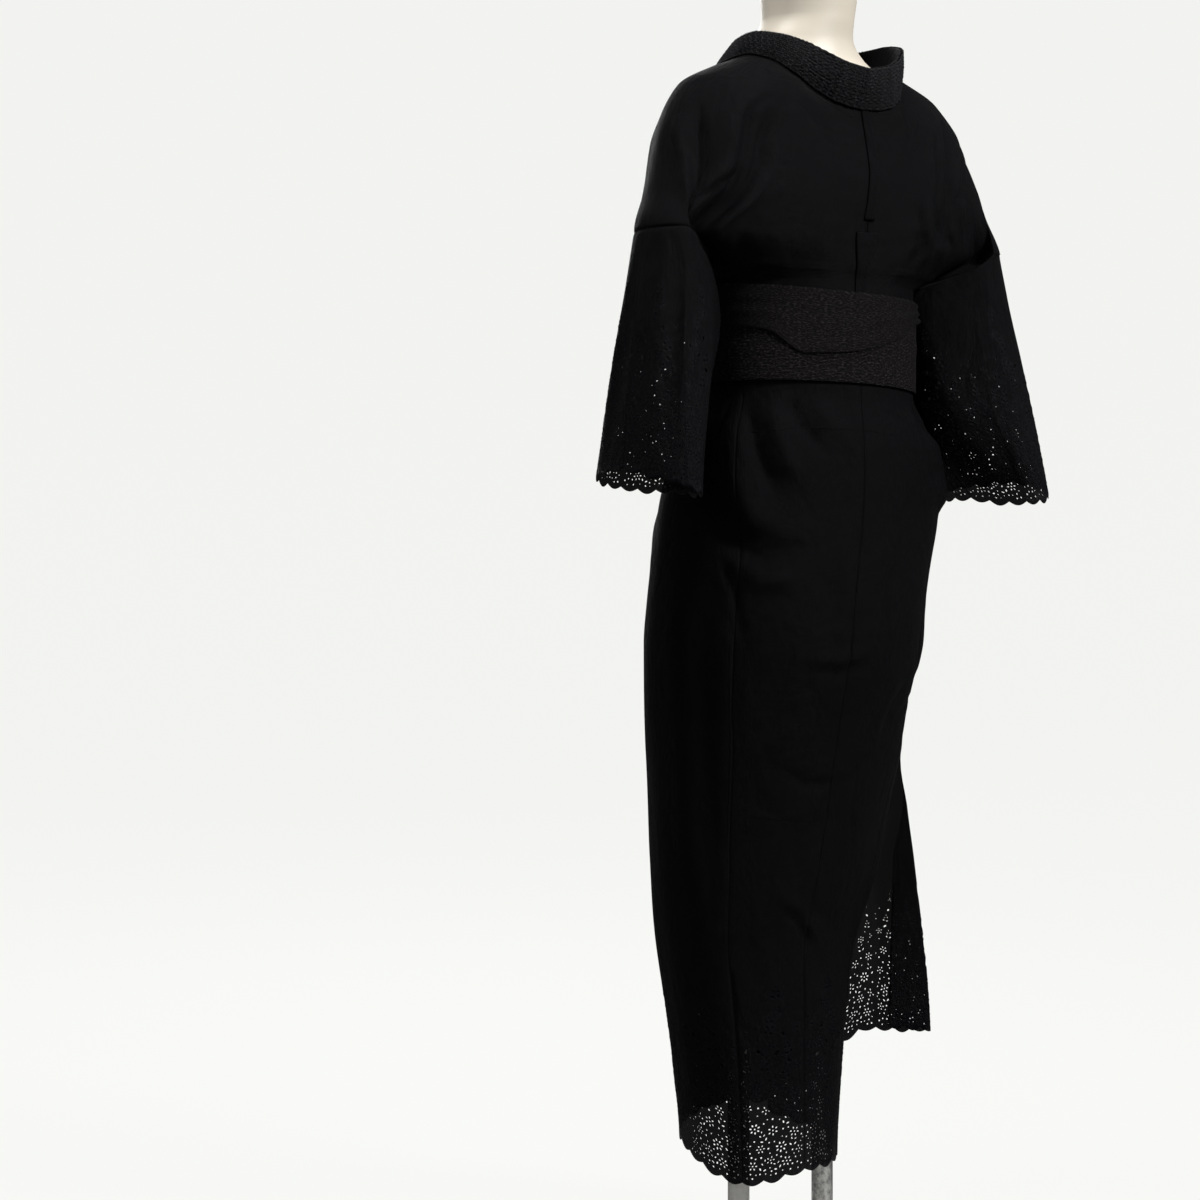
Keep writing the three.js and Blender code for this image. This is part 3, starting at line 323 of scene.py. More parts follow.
def ring_point(angle, z, outward=0.0):
    """A point on the ring at height z: an ellipse with a deeper or shallower back, moved outward."""
    angle, z, outward = np.broadcast_arrays(*(np.asarray(value, float) for value in (angle, z, outward)))
    turned = np.radians(angle)
    wide = along(RINGS, "z", "wide", z)
    depth = np.where(np.cos(turned) > 0, along(RINGS, "z", "back", z), along(RINGS, "z", "front", z))
    normal = np.stack([np.sin(turned) / wide, np.cos(turned) / depth])
    normal = normal / np.hypot(*normal)
    x = along(RINGS, "z", "cx", z) + wide * np.sin(turned) + normal[0] * outward
    y = along(RINGS, "z", "cy", z) + depth * np.cos(turned) + normal[1] * outward
    return np.stack([x, y, z], -1)


def degrees_of(length, angle, z):
    """Degrees of ring angle that a length covers along the ring."""
    turned = np.radians(angle)
    reach = np.hypot(along(RINGS, "z", "wide", z) * np.cos(turned), along(RINGS, "z", "back", z) * np.sin(turned))
    return np.degrees(length / reach)


def level_height(y, bottom):
    """Height of a place y above a hem at height bottom: low rows follow the hem, high rows are level."""
    level = HEM_LEVEL + y
    return level + (bottom - HEM_LEVEL) * (1 - smooth(180, 500, level))


def seam_roll(x, total):
    """A panel's edges turn in a little at its seams."""
    return -0.6 * (np.exp(-(x / 1.8) ** 2) + np.exp(-((total - x) / 1.8) ** 2))


# ---- Meshes -------------------------------------------------------------------------
def grid_faces(rows, columns):
    """Faces of a grid of points counted row by row."""
    start = (np.arange(rows - 1)[:, None] * columns + np.arange(columns - 1)).ravel()
    return np.stack([start, start + 1, start + columns + 1, start + columns], -1)


def ring_faces(rows, steps):
    """Faces of closed rows of points, each row joined to the next one."""
    first = np.arange(rows - 1)[:, None] * steps + np.arange(steps)
    beside = np.arange(rows - 1)[:, None] * steps + (np.arange(steps) + 1) % steps
    return np.stack([beside, first, first + steps, beside + steps], -1).reshape(-1, 4)


def make_mesh(name, points, faces, uv=None, rims=None, merge=None):
    """A mesh object of points in millimetres, with a UV map in millimetres and the stitched rims."""
    mesh = bpy.data.meshes.new(name)
    mesh.from_pydata((points * MM).tolist(), [], faces)
    if uv is not None:
        corners = np.empty(len(mesh.loops), int)
        mesh.loops.foreach_get("vertex_index", corners)
        mesh.uv_layers.new(name=UV_NAME).uv.foreach_set("vector", uv[corners].ravel().astype(np.float32))
    rims = np.zeros(len(points)) if rims is None else rims
    mesh.attributes.new(RIM_NAME, "FLOAT", "POINT").data.foreach_set("value", rims.astype(np.float32))
    if merge:
        work = bmesh.new()
        work.from_mesh(mesh)
        bmesh.ops.remove_doubles(work, verts=work.verts, dist=merge * MM)
        work.to_mesh(mesh)
        work.free()
    mesh.shade_smooth()
    piece = bpy.data.objects.new(name, mesh)
    bpy.context.scene.collection.objects.link(piece)
    return piece


def give_wall(piece, thickness):
    """A wall of even thickness, inward from the face."""
    solid = piece.modifiers.new("wall", "SOLIDIFY")
    solid.thickness = thickness
    solid.offset = -1.0
    solid.use_rim = True


def finish_piece(piece, node, material):
    """Ties a piece to the frame and gives it its finish."""
    piece.data.materials.append(material)
    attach(piece, "root")
    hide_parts(node)


def lathe(name, rings, steps):
    """A closed body of stacked ellipses: rows of z, cx, cy, wide, back and front, capped by a middle point."""
    turn = np.radians(np.arange(steps) * 360 / steps)
    z, cx, cy, wide, back, front = (rings[key][:, None] for key in ("z", "cx", "cy", "wide", "back", "front"))
    depth = np.where(np.cos(turn) > 0, back, front)
    x = cx + wide * np.sin(turn)
    y = cy + depth * np.cos(turn)
    body = np.stack([x, y, z + 0 * x], -1).reshape(-1, 3)
    ends = np.array([[cx[row, 0], cy[row, 0], z[row, 0]] for row in (0, -1)])
    rows = len(z)
    here, there = np.arange(steps), (np.arange(steps) + 1) % steps
    low, high = rows * steps, rows * steps + 1
    top = (rows - 1) * steps
    caps = [(low, int(a), int(b)) for a, b in zip(here, there)]
    caps += [(high, int(top + b), int(top + a)) for a, b in zip(here, there)]
    return make_mesh(name, np.vstack([body, ends]), ring_faces(rows, steps).tolist() + caps)


# ---- The lace repeat ----------------------------------------------------------------
# Flowers: x, y, petals, size and turn in degrees.
LACE_FLOWERS = [
    (22, 15, 6, 1.0, 12), (40, 21, 5, 0.85, 40), (60, 18, 6, 0.95, 5), (7, 25, 5, 0.85, 70), (28, 33, 7, 1.15, 20),
    (51, 36, 6, 0.9, 0), (66, 41, 5, 0.9, 33), (13, 46, 6, 1.0, 15), (37, 54, 6, 1.05, 28), (57, 60, 7, 1.1, 8),
    (8, 68, 5, 0.85, 50), (24, 74, 6, 0.95, 0), (44, 79, 5, 0.9, 62), (64, 84, 6, 0.9, 18), (14, 92, 6, 0.95, 41),
    (33, 101, 5, 0.95, 10), (53, 108, 6, 0.9, 30), (69, 112, 4, 0.8, 45), (9, 120, 5, 0.85, 25),
    (38, 150, 5, 0.9, 0), (27, 186, 5, 0.85, 15),
]
# Sprays: x, y, turn, pairs of leaves, and how far the stem bends at each pair, in degrees.
LACE_SPRAYS = [
    (31, 8, 70, 2, 12), (50, 10, 112, 2, -8), (15, 30, 95, 2, 14), (46, 43, 64, 2, 20), (24, 57, 118, 2, -18),
    (66, 62, 98, 2, 10), (34, 84, 80, 2, -14), (54, 91, 102, 2, 12), (22, 108, 76, 2, 16), (44, 122, 95, 3, -10),
    (62, 124, 84, 2, 12), (18, 136, 70, 2, 18), (40, 162, 112, 3, -14), (30, 200, 88, 2, 10),
]
# Single ovals: x, y and turn.
LACE_OVALS = [(18, 128, 40), (31, 140, 130), (50, 146, 60), (62, 148, 120), (24, 160, 75), (36, 206, 90)]
# Half-lengths and half-widths of the eyelets, and how far petals and leaves stand off.
PETAL, PETAL_REACH, HEART = (1.35, 0.85), 4.2, 0.9
LEAF, LEAF_REACH, LEAF_LEAN, STEM_STEP = (1.8, 0.9), 3.6, 48, 6.4
OVAL = (2.8, 1.5)
# Steps that spread places and sizes evenly without a visible order, as shares of their range.
SPREAD_X, SPREAD_Y, SPREAD_SIZE = 0.7548777, 0.5698403, 0.3819


def lobe_edge(x):
    """The scalloped edge: three lobes to a repeat, each half a sine wave, the middle one the deepest."""
    place = np.mod(x, REPEAT) * LOBES / REPEAT
    depth = np.where(np.floor(place) == 1, LOBE_DEEP * 1.3, LOBE_DEEP)
    return -depth * np.abs(np.sin(np.pi * place))


def flower(x, y, petals, size, turn):
    """Eyelets of a flower: petals round a heart. Each is x, y, half-length, half-width and turn."""
    holes = [(x, y, HEART * size, HEART * size, 0)]
    for petal in range(petals):
        way = math.radians(turn + 360 * petal / petals)
        holes.append((x + PETAL_REACH * size * math.cos(way), y + PETAL_REACH * size * math.sin(way),
                      PETAL[0] * size, PETAL[1] * size, math.degrees(way)))
    return holes


def spray(x, y, turn, leaves, bend):
    """Eyelets of a spray: pairs of leaves along a bending stem, and one at its tip."""
    holes = []
    for leaf in range(leaves):
        way = math.radians(turn)
        size = 1 - 0.35 * leaf / leaves
        for side in (-1, 1):
            lean = way + side * math.radians(LEAF_LEAN)
            holes.append((x + LEAF_REACH * size * math.cos(lean), y + LEAF_REACH * size * math.sin(lean),
                          LEAF[0] * size, LEAF[1] * size, math.degrees(lean)))
        x += STEM_STEP * math.cos(way)
        y += STEM_STEP * math.sin(way)
        turn += bend
    holes.append((x, y, LEAF[0] * 0.7, LEAF[1] * 0.8, turn))
    return holes


def lace_eyelets():
    """The eyelets of one repeat, most important first, each clear of those before it.

    Flowers and sprays stand unevenly over the repeat, as embroidered by hand frame, and small round
    eyelets fill the ground between them: close at the edge, and thinner with height."""
    wanted = [hole for row in LACE_FLOWERS for hole in flower(*row)]
    wanted += [hole for row in LACE_SPRAYS for hole in spray(*row)]
    wanted += [(x, y, *OVAL, turn) for x, y, turn in LACE_OVALS]
    count = np.arange(900)
    fill_x, fill_y = REPEAT * np.mod(count * SPREAD_X, 1), 170 * np.mod(count * SPREAD_Y, 1) ** 1.25
    fill_y = fill_y + lobe_edge(fill_x) + EDGE_BAND + 1.9
    fill_size = 0.7 + 0.5 * np.mod(count * SPREAD_SIZE, 1)
    fill = [(x, y, size, size, 0) for x, y, size in zip(fill_x, fill_y, fill_size)]
    kept = []
    turns = np.radians(np.arange(0, 360, 24))
    for number, hole in enumerate(wanted + fill):
        room = 0.6 if number < len(wanted) else 1.5 + 0.05 * max(0, hole[1] - 40)
        x, y = ellipse_point(hole, turns, 0.75)
        inside = x.min() > 1.2 and x.max() < REPEAT - 1.2 and (y - lobe_edge(x)).min() > EDGE_BAND - 0.6
        if inside and all(ellipse_gap(other, x, y).min() > room for other in kept):
            kept.append(hole)
    return kept


def ellipse_point(hole, turn, grow):
    """Points round an ellipse that is turned, and grown by a width."""
    x, y, long, wide, way = hole
    way = math.radians(way)
    one, two = (long + grow) * np.cos(turn), (wide + grow) * np.sin(turn)
    return x + one * math.cos(way) - two * math.sin(way), y + one * math.sin(way) + two * math.cos(way)


def ellipse_gap(hole, x, y):
    """Distance from an ellipse along the ray from its middle: below zero inside it."""
    middle_x, middle_y, long, wide, way = hole
    way = math.radians(way)
    one = (x - middle_x) * math.cos(way) + (y - middle_y) * math.sin(way)
    two = (y - middle_y) * math.cos(way) - (x - middle_x) * math.sin(way)
    size = np.maximum(np.hypot(one / long, two / wide), 1e-6)
    return np.hypot(one, two) * (1 - 1 / size)


def nearest_eyelet(holes, x, y):
    gap = np.full(np.shape(x), np.inf)
    for hole in holes:
        gap = np.minimum(gap, ellipse_gap(hole, x, y))
    return gap


def lace_tile():
    """One repeat of lace as triangles in the flat, with each eyelet open.

    Points stand on the outline, round each eyelet at its edge and just outside its stitched rim,
    along the edge band, and on a coarse net between. The triangles between them are Delaunay's,
    less those inside an eyelet or past the scalloped edge."""
    holes = lace_eyelets()
    low_x = np.arange(0, REPEAT + 0.1, 2.4)
    side_y = np.linspace(0, LACE_TOP, 60)[1:]
    outline = np.vstack([
        np.stack([low_x, lobe_edge(low_x)], -1),
        np.stack([np.full_like(side_y, REPEAT), side_y], -1),
        np.stack([TILE_COLUMNS[::-1][1:], np.full(len(TILE_COLUMNS) - 1, LACE_TOP)], -1),
        np.stack([np.zeros(len(side_y) - 1), side_y[::-1][1:]], -1),
    ])
    outline[len(low_x) - 1] = (REPEAT, 0)
    spots = [outline]
    edges = [(index, (index + 1) % len(outline)) for index in range(len(outline))]
    count = len(outline)
    free = []
    for hole in holes:
        sides = 9 if hole[2] > 1.6 else 6
        turns = np.radians(np.arange(sides) * 360 / sides)
        spots.append(np.stack(ellipse_point(hole, turns, 0), -1))
        edges += [(count + side, count + (side + 1) % sides) for side in range(sides)]
        count += sides
        free.append(np.stack(ellipse_point(hole, turns, RIM_WIDE + 0.15), -1))
    band_x = np.arange(1, REPEAT, 2.0)
    free += [np.stack([band_x, lobe_edge(band_x) + up], -1) for up in (3.5, EDGE_BAND, EDGE_BAND + 0.5)]
    net_x, net_y = np.meshgrid(np.arange(4, REPEAT - 2, 5.6), np.arange(3, LACE_TOP - 3, 6.0))
    free.append(np.stack([net_x.ravel() + 1.2 * np.sin(net_y.ravel()), net_y.ravel()], -1))
    free = np.vstack(free)
    gap = nearest_eyelet(holes, free[:, 0], free[:, 1])
    inside = (free[:, 0] > 0.8) & (free[:, 0] < REPEAT - 0.8) & (free[:, 1] < LACE_TOP - 1.5)
    free = free[inside & (gap > 0.3) & (free[:, 1] > lobe_edge(free[:, 0]) + 1.2)]
    cells = np.unique(np.round(free / 0.45).astype(int), axis=0, return_index=True)[1]
    spots.append(free[cells])
    flat = np.vstack(spots)
    made = delaunay_2d_cdt([Vector(spot) for spot in flat.tolist()], edges, [], 0, 1e-4)
    flat = np.array([tuple(spot) for spot in made[0]])
    triangles = np.array([face for face in made[2] if len(face) == 3])
    middle = flat[triangles].mean(1)
    solid = nearest_eyelet(holes, middle[:, 0], middle[:, 1]) > 0
    triangles = triangles[solid & (middle[:, 1] > lobe_edge(middle[:, 0]) - 1e-3)]
    gap = nearest_eyelet(holes, flat[:, 0], flat[:, 1])
    rims = np.maximum(1 - smooth(RIM_WIDE, RIM_WIDE + 0.3, gap),
                      1 - smooth(EDGE_BAND, EDGE_BAND + 0.4, flat[:, 1] - lobe_edge(flat[:, 0])))
    return flat, triangles, rims


LACE = lace_tile()


def flat_sheet(repeats, rows):
    """A flat panel: lace repeats side by side with a plain grid above, joined where they meet."""
    flat, triangles, rims = LACE
    tiles = np.vstack([flat + (REPEAT * index, 0) for index in range(repeats)])
    corners = np.vstack([triangles + len(flat) * index for index in range(repeats)])
    columns = np.unique(np.round(np.concatenate([TILE_COLUMNS + REPEAT * index for index in range(repeats)]), 4))
    grid_x, grid_y = np.meshgrid(columns, rows)
    grid = np.stack([grid_x.ravel(), grid_y.ravel()], -1)
    quads = grid_faces(len(rows), len(columns)) + len(tiles)
    spots = np.vstack([tiles, grid])
    stitched = np.concatenate([np.tile(rims, repeats), np.zeros(len(grid))])
    _, first, which = np.unique(np.round(spots, 3), axis=0, return_index=True, return_inverse=True)
    which = which.ravel()
    return spots[first], stitched[first], which[corners], which[quads]


def on_surface(surface, x, y, raised, side):
    """Points of a surface, moved out by a width along its normal, which two small steps give."""
    step = 0.5
    here = surface(x, y)
    across = surface(x + step, y) - surface(x - step, y)
    upward = surface(x, y + step) - surface(x, y - step)
    normal = np.cross(across, upward) * -side
    normal /= np.maximum(np.linalg.norm(normal, axis=-1, keepdims=True), 1e-9)
    return here + normal * np.asarray(raised)[..., None]


def turned(faces, side):
    """Faces wound so that they look outward: a left-hand sheet's run the other way."""
    return faces[:, ::-1] if side > 0 else faces


def cloth_parts(surface, repeats, rows, side, keep=None):
    """One lace-edged sheet on a surface: points, flat places, rims and faces."""
    flat, rims, triangles, quads = flat_sheet(repeats, rows)
    if keep is not None:
        triangles = triangles[keep(flat[triangles].mean(1))]
        quads = quads[keep(flat[quads].mean(1))]
        used = np.unique(np.concatenate([triangles.ravel(), quads.ravel()]))
        place = np.zeros(len(flat), int)
        place[used] = np.arange(len(used))
        flat, rims, triangles, quads = flat[used], rims[used], place[triangles], place[quads]
    height = bpy.context.scene.juban_sizes.embroidery_height / MM
    points = on_surface(surface, flat[:, 0], flat[:, 1], rims * height, side)
    return points, flat, rims, [turned(triangles, side), turned(quads, side)]


def cloth_mesh(name, parts, merge=None):
    """Several sheets as one mesh: their points one after another, and their faces counted on."""
    faces, count = [], 0
    for spots, _, _, groups in parts:
        for group in groups:
            faces += (group + count).tolist()
        count += len(spots)
    points, flats, rims = (np.concatenate(column) for column in list(zip(*parts))[:3])
    return make_mesh(name, points, faces, flats, rims, merge)


def rows_to(step, *stops):
    """Row heights about a step apart, with a row at each stop."""
    rows = [np.linspace(low, high, max(2, round((high - low) / step) + 1)) for low, high in zip(stops, stops[1:])]
    return np.unique(np.round(np.concatenate(rows), 4))


# ---- Body panels --------------------------------------------------------------------
BACK_REPEATS = 1
FRONT_REPEATS = 2
# Heights in the flat where the skirt part's rows stop, and the shoulder part's own height and rows.
SKIRT_STOP, SHOULDER_START, SHOULDER_LONG, SHOULDER_ROWS = 680, 1020, 190, 60


def under_depth(side, angle, z):
    """How far the right-hand panel lies below the left-hand one where the fronts overlap."""
    if side > 0:
        return 0.0
    limit = 360 - mix(edge_angle("free", z), 230, 1 - smooth(500, 620, z))
    return -UNDER_LAYER * smooth(limit - 36, limit - 12, angle)


def torso(side, angle, z, roll=0.0):
    """A point of a body panel on the rings, with its folds."""
    return ring_point(side * angle, z, under_depth(side, angle, z) + fold_out(side * angle, z) + roll)


def front_end(z):
    """Ring angle where a body panel ends in front, above the armpit."""
    return mix(182.8, 181, np.clip((z - WRAP_Z) / 52, 0, 1))


def wrap_angle(column):
    """Ring angle of a column at the top of the skirt part: the back, then the chest."""
    side_seam = edge_angle("side", WRAP_Z)
    back = side_seam * column / BACK_END
    front = mix(side_seam, front_end(WRAP_Z), (column - FRONT_START) / (PANEL_END - FRONT_START))
    return np.where(column <= BACK_END, back, front)


def sleeve_seam(side, share):
    """The ring that a sleeve hangs from: an ellipse, low at the armpit, where it joins the side seam."""
    turn = 2 * np.pi * share
    inward = np.cos(turn)
    reach = np.where(inward > 0, SLEEVE_RING["inner"], SLEEVE_RING["outer"])
    armpit = ring_point(side * edge_angle("side", WRAP_Z), WRAP_Z)
    edge = np.minimum(share, 1 - share)
    away = smooth(0, 0.18, edge)
    split = ARMPIT_SPLIT * (1 - smooth(0, 0.04, edge)) * np.where(share < 0.5, 1, -1)
    x = mix(armpit[..., 0], side * (SLEEVE_RING["x"] - reach * inward), away)
    y = SLEEVE_RING["y"] + SLEEVE_RING["deep"] * np.sin(turn) + (armpit[..., 1] - SLEEVE_RING["y"]) * (1 - away)
    return np.stack([x, y + split, mix(WRAP_Z, SLEEVE_SEAM_Z, smooth(0, 0.3, edge))], -1)


def wrap_point(side, column):
    """Where the shoulder part starts: the skirt's top line, then the sleeve's ring."""
    column = np.asarray(column, float)
    spot = torso(side, wrap_angle(column), WRAP_Z)
    near_arm = smooth(BACK_END - 0.5, BACK_END, column) * (column <= BACK_END)
    near_arm = near_arm - smooth(FRONT_START + 0.5, FRONT_START, column) * (column >= FRONT_START)
    spot[..., 1] += ARMPIT_SPLIT * near_arm
    arm = (column > BACK_END) & (column < FRONT_START)
    share = np.clip((column - BACK_END) / (FRONT_START - BACK_END), 0, 1)
    return np.where(arm[..., None], sleeve_seam(side, share), spot)


def skirt_surface(side, is_back, repeats):
    """A body panel below the armpit: the ring angle runs between its two seams, height follows the hem."""
    total = REPEAT * repeats

    def surface(x, y):
        share = x / total

        def place(z):
            side_seam = edge_angle("side", z)
            return side_seam * share if is_back else mix(side_seam, edge_angle("overlap", z), share)

        z = level_height(y, along(HEM, "angle", "z", side * place(np.full_like(share, 200.0))))
        inset = degrees_of(SEAM_GAP / 2, place(z), z) * (1 - 2 * share)
        spot = torso(side, place(z) + inset, z, seam_roll(x, total))
        column = share * BACK_END if is_back else mix(FRONT_START, PANEL_END, share)
        return mix(spot, wrap_point(side, column), smooth(1107, WRAP_Z, z)[..., None])

    return surface


def shoulder_angle(column, z):
    """Ring angle of a column above the armpit: 0 to 50 behind, to 90 on the shoulder, to 130, to the front."""
    return np.interp(column, COLUMN_STOPS, (0, 50, 90, 130, 130)) + np.where(
        column > FRONT_START, (front_end(z) - 130) * (column - FRONT_START) / (PANEL_END - FRONT_START), 0)


def shoulder_surface(side):
    """A body panel above the armpit: rows from the wrap line to the neck seam, with the wrap line's
    offset from the ring fading out as the square of the distance left."""
    def surface(column, share):
        column = np.clip(column, 0, PANEL_END)
        wrap = wrap_point(side, column)
        start = wrap[..., 2]
        used = np.maximum(shoulder_angle(column, start), degrees_of(SEAM_GAP / 2, 0, start))
        top = along(NECK_SEAM, "angle", "z", shoulder_angle(column, 1200.0)) - SEAM_GAP / 2
        z = mix(start, top, share)
        here = np.maximum(shoulder_angle(column, z), degrees_of(SEAM_GAP / 2, 0, z))
        base = torso(side, used, start)
        fold = fold_out(side * here, z) * (1 - smooth(0.8, 1, share))
        spot = ring_point(side * here, z, under_depth(side, here, z) + fold)
        fade = (1 - np.clip((z - start) / 125, 0, 1)) ** 2
        spot[..., :2] += (wrap - base)[..., :2] * fade[..., None]
        middle = smooth(0.3, 0, column)
        spot[..., 0] = mix(spot[..., 0], np.where(column < 0.01, side * SEAM_GAP / 2, spot[..., 0]), middle)
        spot[..., 1] -= 0.9 * np.exp(-(column * REPEAT / BACK_END / 1.8) ** 2) * smooth(0, 0.1, share)
        return spot

    return surface


def shoulder_columns():
    """The columns of the shoulder part, which meet those of the two skirt parts."""
    back = TILE_COLUMNS / REPEAT * BACK_END
    arm = np.linspace(BACK_END, FRONT_START, 41)
    front = np.concatenate([TILE_COLUMNS, TILE_COLUMNS + REPEAT]) / (2 * REPEAT)
    front = FRONT_START + front * (PANEL_END - FRONT_START)
    return np.unique(np.round(np.concatenate([back, arm, front]), 6))


def body_panel(side):
    """One length of cloth from the back hem over the shoulder to the front hem."""
    rows = rows_to(6, LACE_TOP, SKIRT_STOP, SHOULDER_START)
    parts = [cloth_parts(skirt_surface(side, True, BACK_REPEATS), BACK_REPEATS, rows, side),
             cloth_parts(skirt_surface(side, False, FRONT_REPEATS), FRONT_REPEATS, rows, side)]
    columns, shares = np.meshgrid(shoulder_columns(), np.linspace(0, 1, SHOULDER_ROWS))
    spots = shoulder_surface(side)(columns.ravel(), shares.ravel())
    flat = np.stack([np.interp(columns.ravel(), COLUMN_STOPS, (0, 72, 172, 272, 416)),
                     SHOULDER_START + SHOULDER_LONG * shares.ravel()], -1)
    faces = turned(grid_faces(*columns.shape), side)
    parts.append((spots, flat, np.zeros(len(spots)), [faces]))
    return cloth_mesh(side_name(side) + "_body_cloth", parts, merge=0.05)


# ---- Overlap panels -----------------------------------------------------------------
OVER_REPEATS = 6
# Flat places where the left overlap leaves the skirt, turns back and ends.
WING_X, TURN_X, RETURN_X, OVER_END_X = 161.0, 360.0, 372.0, 432.0
WING_TOP_Y = COLLAR_END_Z - HEM_LEVEL
RETURN_TOP_Y = 445.0


def left_overlap_surface(x, y):
    """The upper front: on the skirt's rings first, then a free wing that hangs straight, turns over at
    its fold line with a small radius and comes back behind itself."""
    on_tube = np.clip(x / WING_X, 0, 1)
    wing = np.clip((x - WING_X) / (TURN_X - WING_X), 0, 1)
    bottom = mix(mix(138, 172, on_tube), 238, smooth(0, 0.6, wing)) + 4 * np.clip((x - TURN_X) / 40, 0, 1)
    z = np.minimum(WRAP_Z - 8, level_height(y, bottom))
    seam = edge_angle("overlap", z) + degrees_of(SEAM_GAP, edge_angle("overlap", z), z)
    collar = edge_angle("collar", z)
    angle = mix(seam, collar, on_tube)
    flat_fold = fold_out(angle, z) * smooth(1, 0.8, on_tube) + seam_roll(x, 1e4)
    tube = ring_point(angle, z, flat_fold)
    rung = ring_point(mix(collar, edge_angle("free", z), wing), z)
    start = ring_point(collar, z)
    fold = along(FLAP, "z", "fold", z)
    back = along(FLAP, "z", "back", z)
    hang = start + FLAP_ALONG * ((fold - start @ FLAP_ALONG) * wing)[..., None]
    ripple = -6 * np.sin(np.pi * wing) * (1.3 + np.sin(z / 60))
    ripple += 1.6 * np.sin(5.3 * wing + z / 90) * smooth(0, 0.25, wing) * smooth(1, 0.8, wing)
    hang = hang + FLAP_INWARD * ripple[..., None]
    spot = mix(rung, hang, (1 - smooth(500, 620, z))[..., None])
    tip = smooth(RETURN_TOP_Y, RETURN_TOP_Y - 130, y)
    turn = np.pi * np.clip((x - TURN_X) / (RETURN_X - TURN_X), 0, 1)
    spot = spot + FLAP_ALONG * (2.6 * tip * np.sin(turn))[..., None]
    spot = spot + FLAP_INWARD * (2.6 * tip * (1 - np.cos(turn)))[..., None]
    home = tip * np.clip((x - RETURN_X) / (OVER_END_X - RETURN_X), 0, 1)
    spot = spot - FLAP_ALONG * ((fold - back) * home)[..., None] + FLAP_INWARD * (3 * home)[..., None]
    return np.where((x <= WING_X)[..., None], tube, spot)


def left_overlap():
    rows = rows_to(14, LACE_TOP, RETURN_TOP_Y, WING_TOP_Y, WRAP_Z - 8 - HEM_LEVEL)

    def keep(middle):
        x, y = middle.T
        return np.where(x > TURN_X, y < RETURN_TOP_Y, np.where(x > WING_X, y < WING_TOP_Y, True))

    return cloth_mesh("left_overlap_cloth", [cloth_parts(left_overlap_surface, OVER_REPEATS, rows, 1, keep)])


def right_overlap_surface(x, y):
    """The under front: on the rings, one layer in."""
    share = x / (2 * REPEAT)
    z = level_height(y, 152)
    seam = edge_angle("overlap", z) + degrees_of(SEAM_GAP, edge_angle("overlap", z), z)
    end = mix(edge_angle("collar", z), 238, smooth(COLLAR_END_Z + 40, COLLAR_END_Z - 10, z))
    angle = mix(seam, end, share)
    fold = 0.5 * fold_out(-angle, z) * smooth(1, 0.75, share) * smooth(0, 0.1, share)
    return ring_point(-angle, z, -UNDER_LAYER + np.minimum(fold, 0) + seam_roll(x, 1e4))


def right_overlap():
    rows = rows_to(14, LACE_TOP, WING_TOP_Y, WRAP_Z - 8 - HEM_LEVEL)
    return cloth_mesh("right_overlap_cloth", [cloth_parts(right_overlap_surface, 2, rows, -1)])


# ---- Sleeves ------------------------------------------------------------------------
SLEEVE_REPEATS = 3


def sleeve_surface(side, is_front):
    """Half a sleeve: from the rim's ellipse up to the ring that it is sewn to, with soft hanging folds."""
    total = REPEAT * SLEEVE_REPEATS

    def surface(x, y):
        share = x / total / 2 + (0.5 if is_front else 0)
        edge = np.minimum(share, 1 - share)
        seam = sleeve_seam(side, share)
        seam[..., 2] -= SEAM_GAP + 5 * (1 - smooth(0, 0.32, edge))
        turn = 2 * np.pi * share
        rim_x = SLEEVE_RIM["x"] - SLEEVE_RIM["wide"] * np.cos(turn)
        rim_y = SLEEVE_RIM["y"] + SLEEVE_RIM["deep"] * np.sin(turn)
        inner = 0.5 + 0.5 * np.cos(turn)
        rim_z = SLEEVE_RIM["z"] - 22 * inner - 14 * np.maximum(0, np.sin(turn))
        up = y / SLEEVE_LENGTH
        grow = np.maximum(up, 0) ** 1.15
        wave = 4 * np.sin(np.pi * up) * np.sin(6 * turn + side) * np.abs(np.sin(turn))
        rise = np.clip(up, 0, 1)
        wave += 1.4 * np.sin(np.pi * rise) * np.sin(11 * turn + 4 * up)
        cut = SEAM_GAP / 2 * (np.exp(-(x / 2) ** 2) - np.exp(-((total - x) / 2) ** 2)) * (1 - rise ** 3)
        roll = 0.9 * np.exp(-((up - 1) * SLEEVE_LENGTH / 2) ** 2)
        way = np.stack([np.cos(turn), -np.sin(turn)])
        if side > 0:
            hang = np.sin(np.pi * rise ** 2)
        else:
            hang = np.sin(np.pi * rise) ** np.where(rise > 0.5, 0.27, 1)
        slack = SLEEVE_SLACK[side] * hang * inner ** 1.5
        spot_x = mix(side * rim_x, seam[..., 0], grow) - side * (wave + slack) + side * roll * way[0]
        spot_y = mix(rim_y, seam[..., 1], grow) + cut + roll * way[1]
        return np.stack([spot_x, spot_y, mix(rim_z, seam[..., 2], up)], -1)

    return surface


def sleeve_half(name, side, is_front):
    """One half of a cut sleeve, from its lace rim to the ring."""
    rows = rows_to(7, LACE_TOP, SLEEVE_LENGTH)
    return cloth_mesh(name, [cloth_parts(sleeve_surface(side, is_front), SLEEVE_REPEATS, rows, side)])


# ---- Collars ------------------------------------------------------------------------
# Heights of the stations below the neck, where the collar lies on the crossed fronts.
CROSS_LEVELS = (1146, 1120, 1112, 1107, 1045, 984, 950, 905, 850, COLLAR_END_Z + SEAM_GAP)
NECK_STATIONS = 28
COLLAR_CELLS = NECK_STATIONS + len(CROSS_LEVELS)


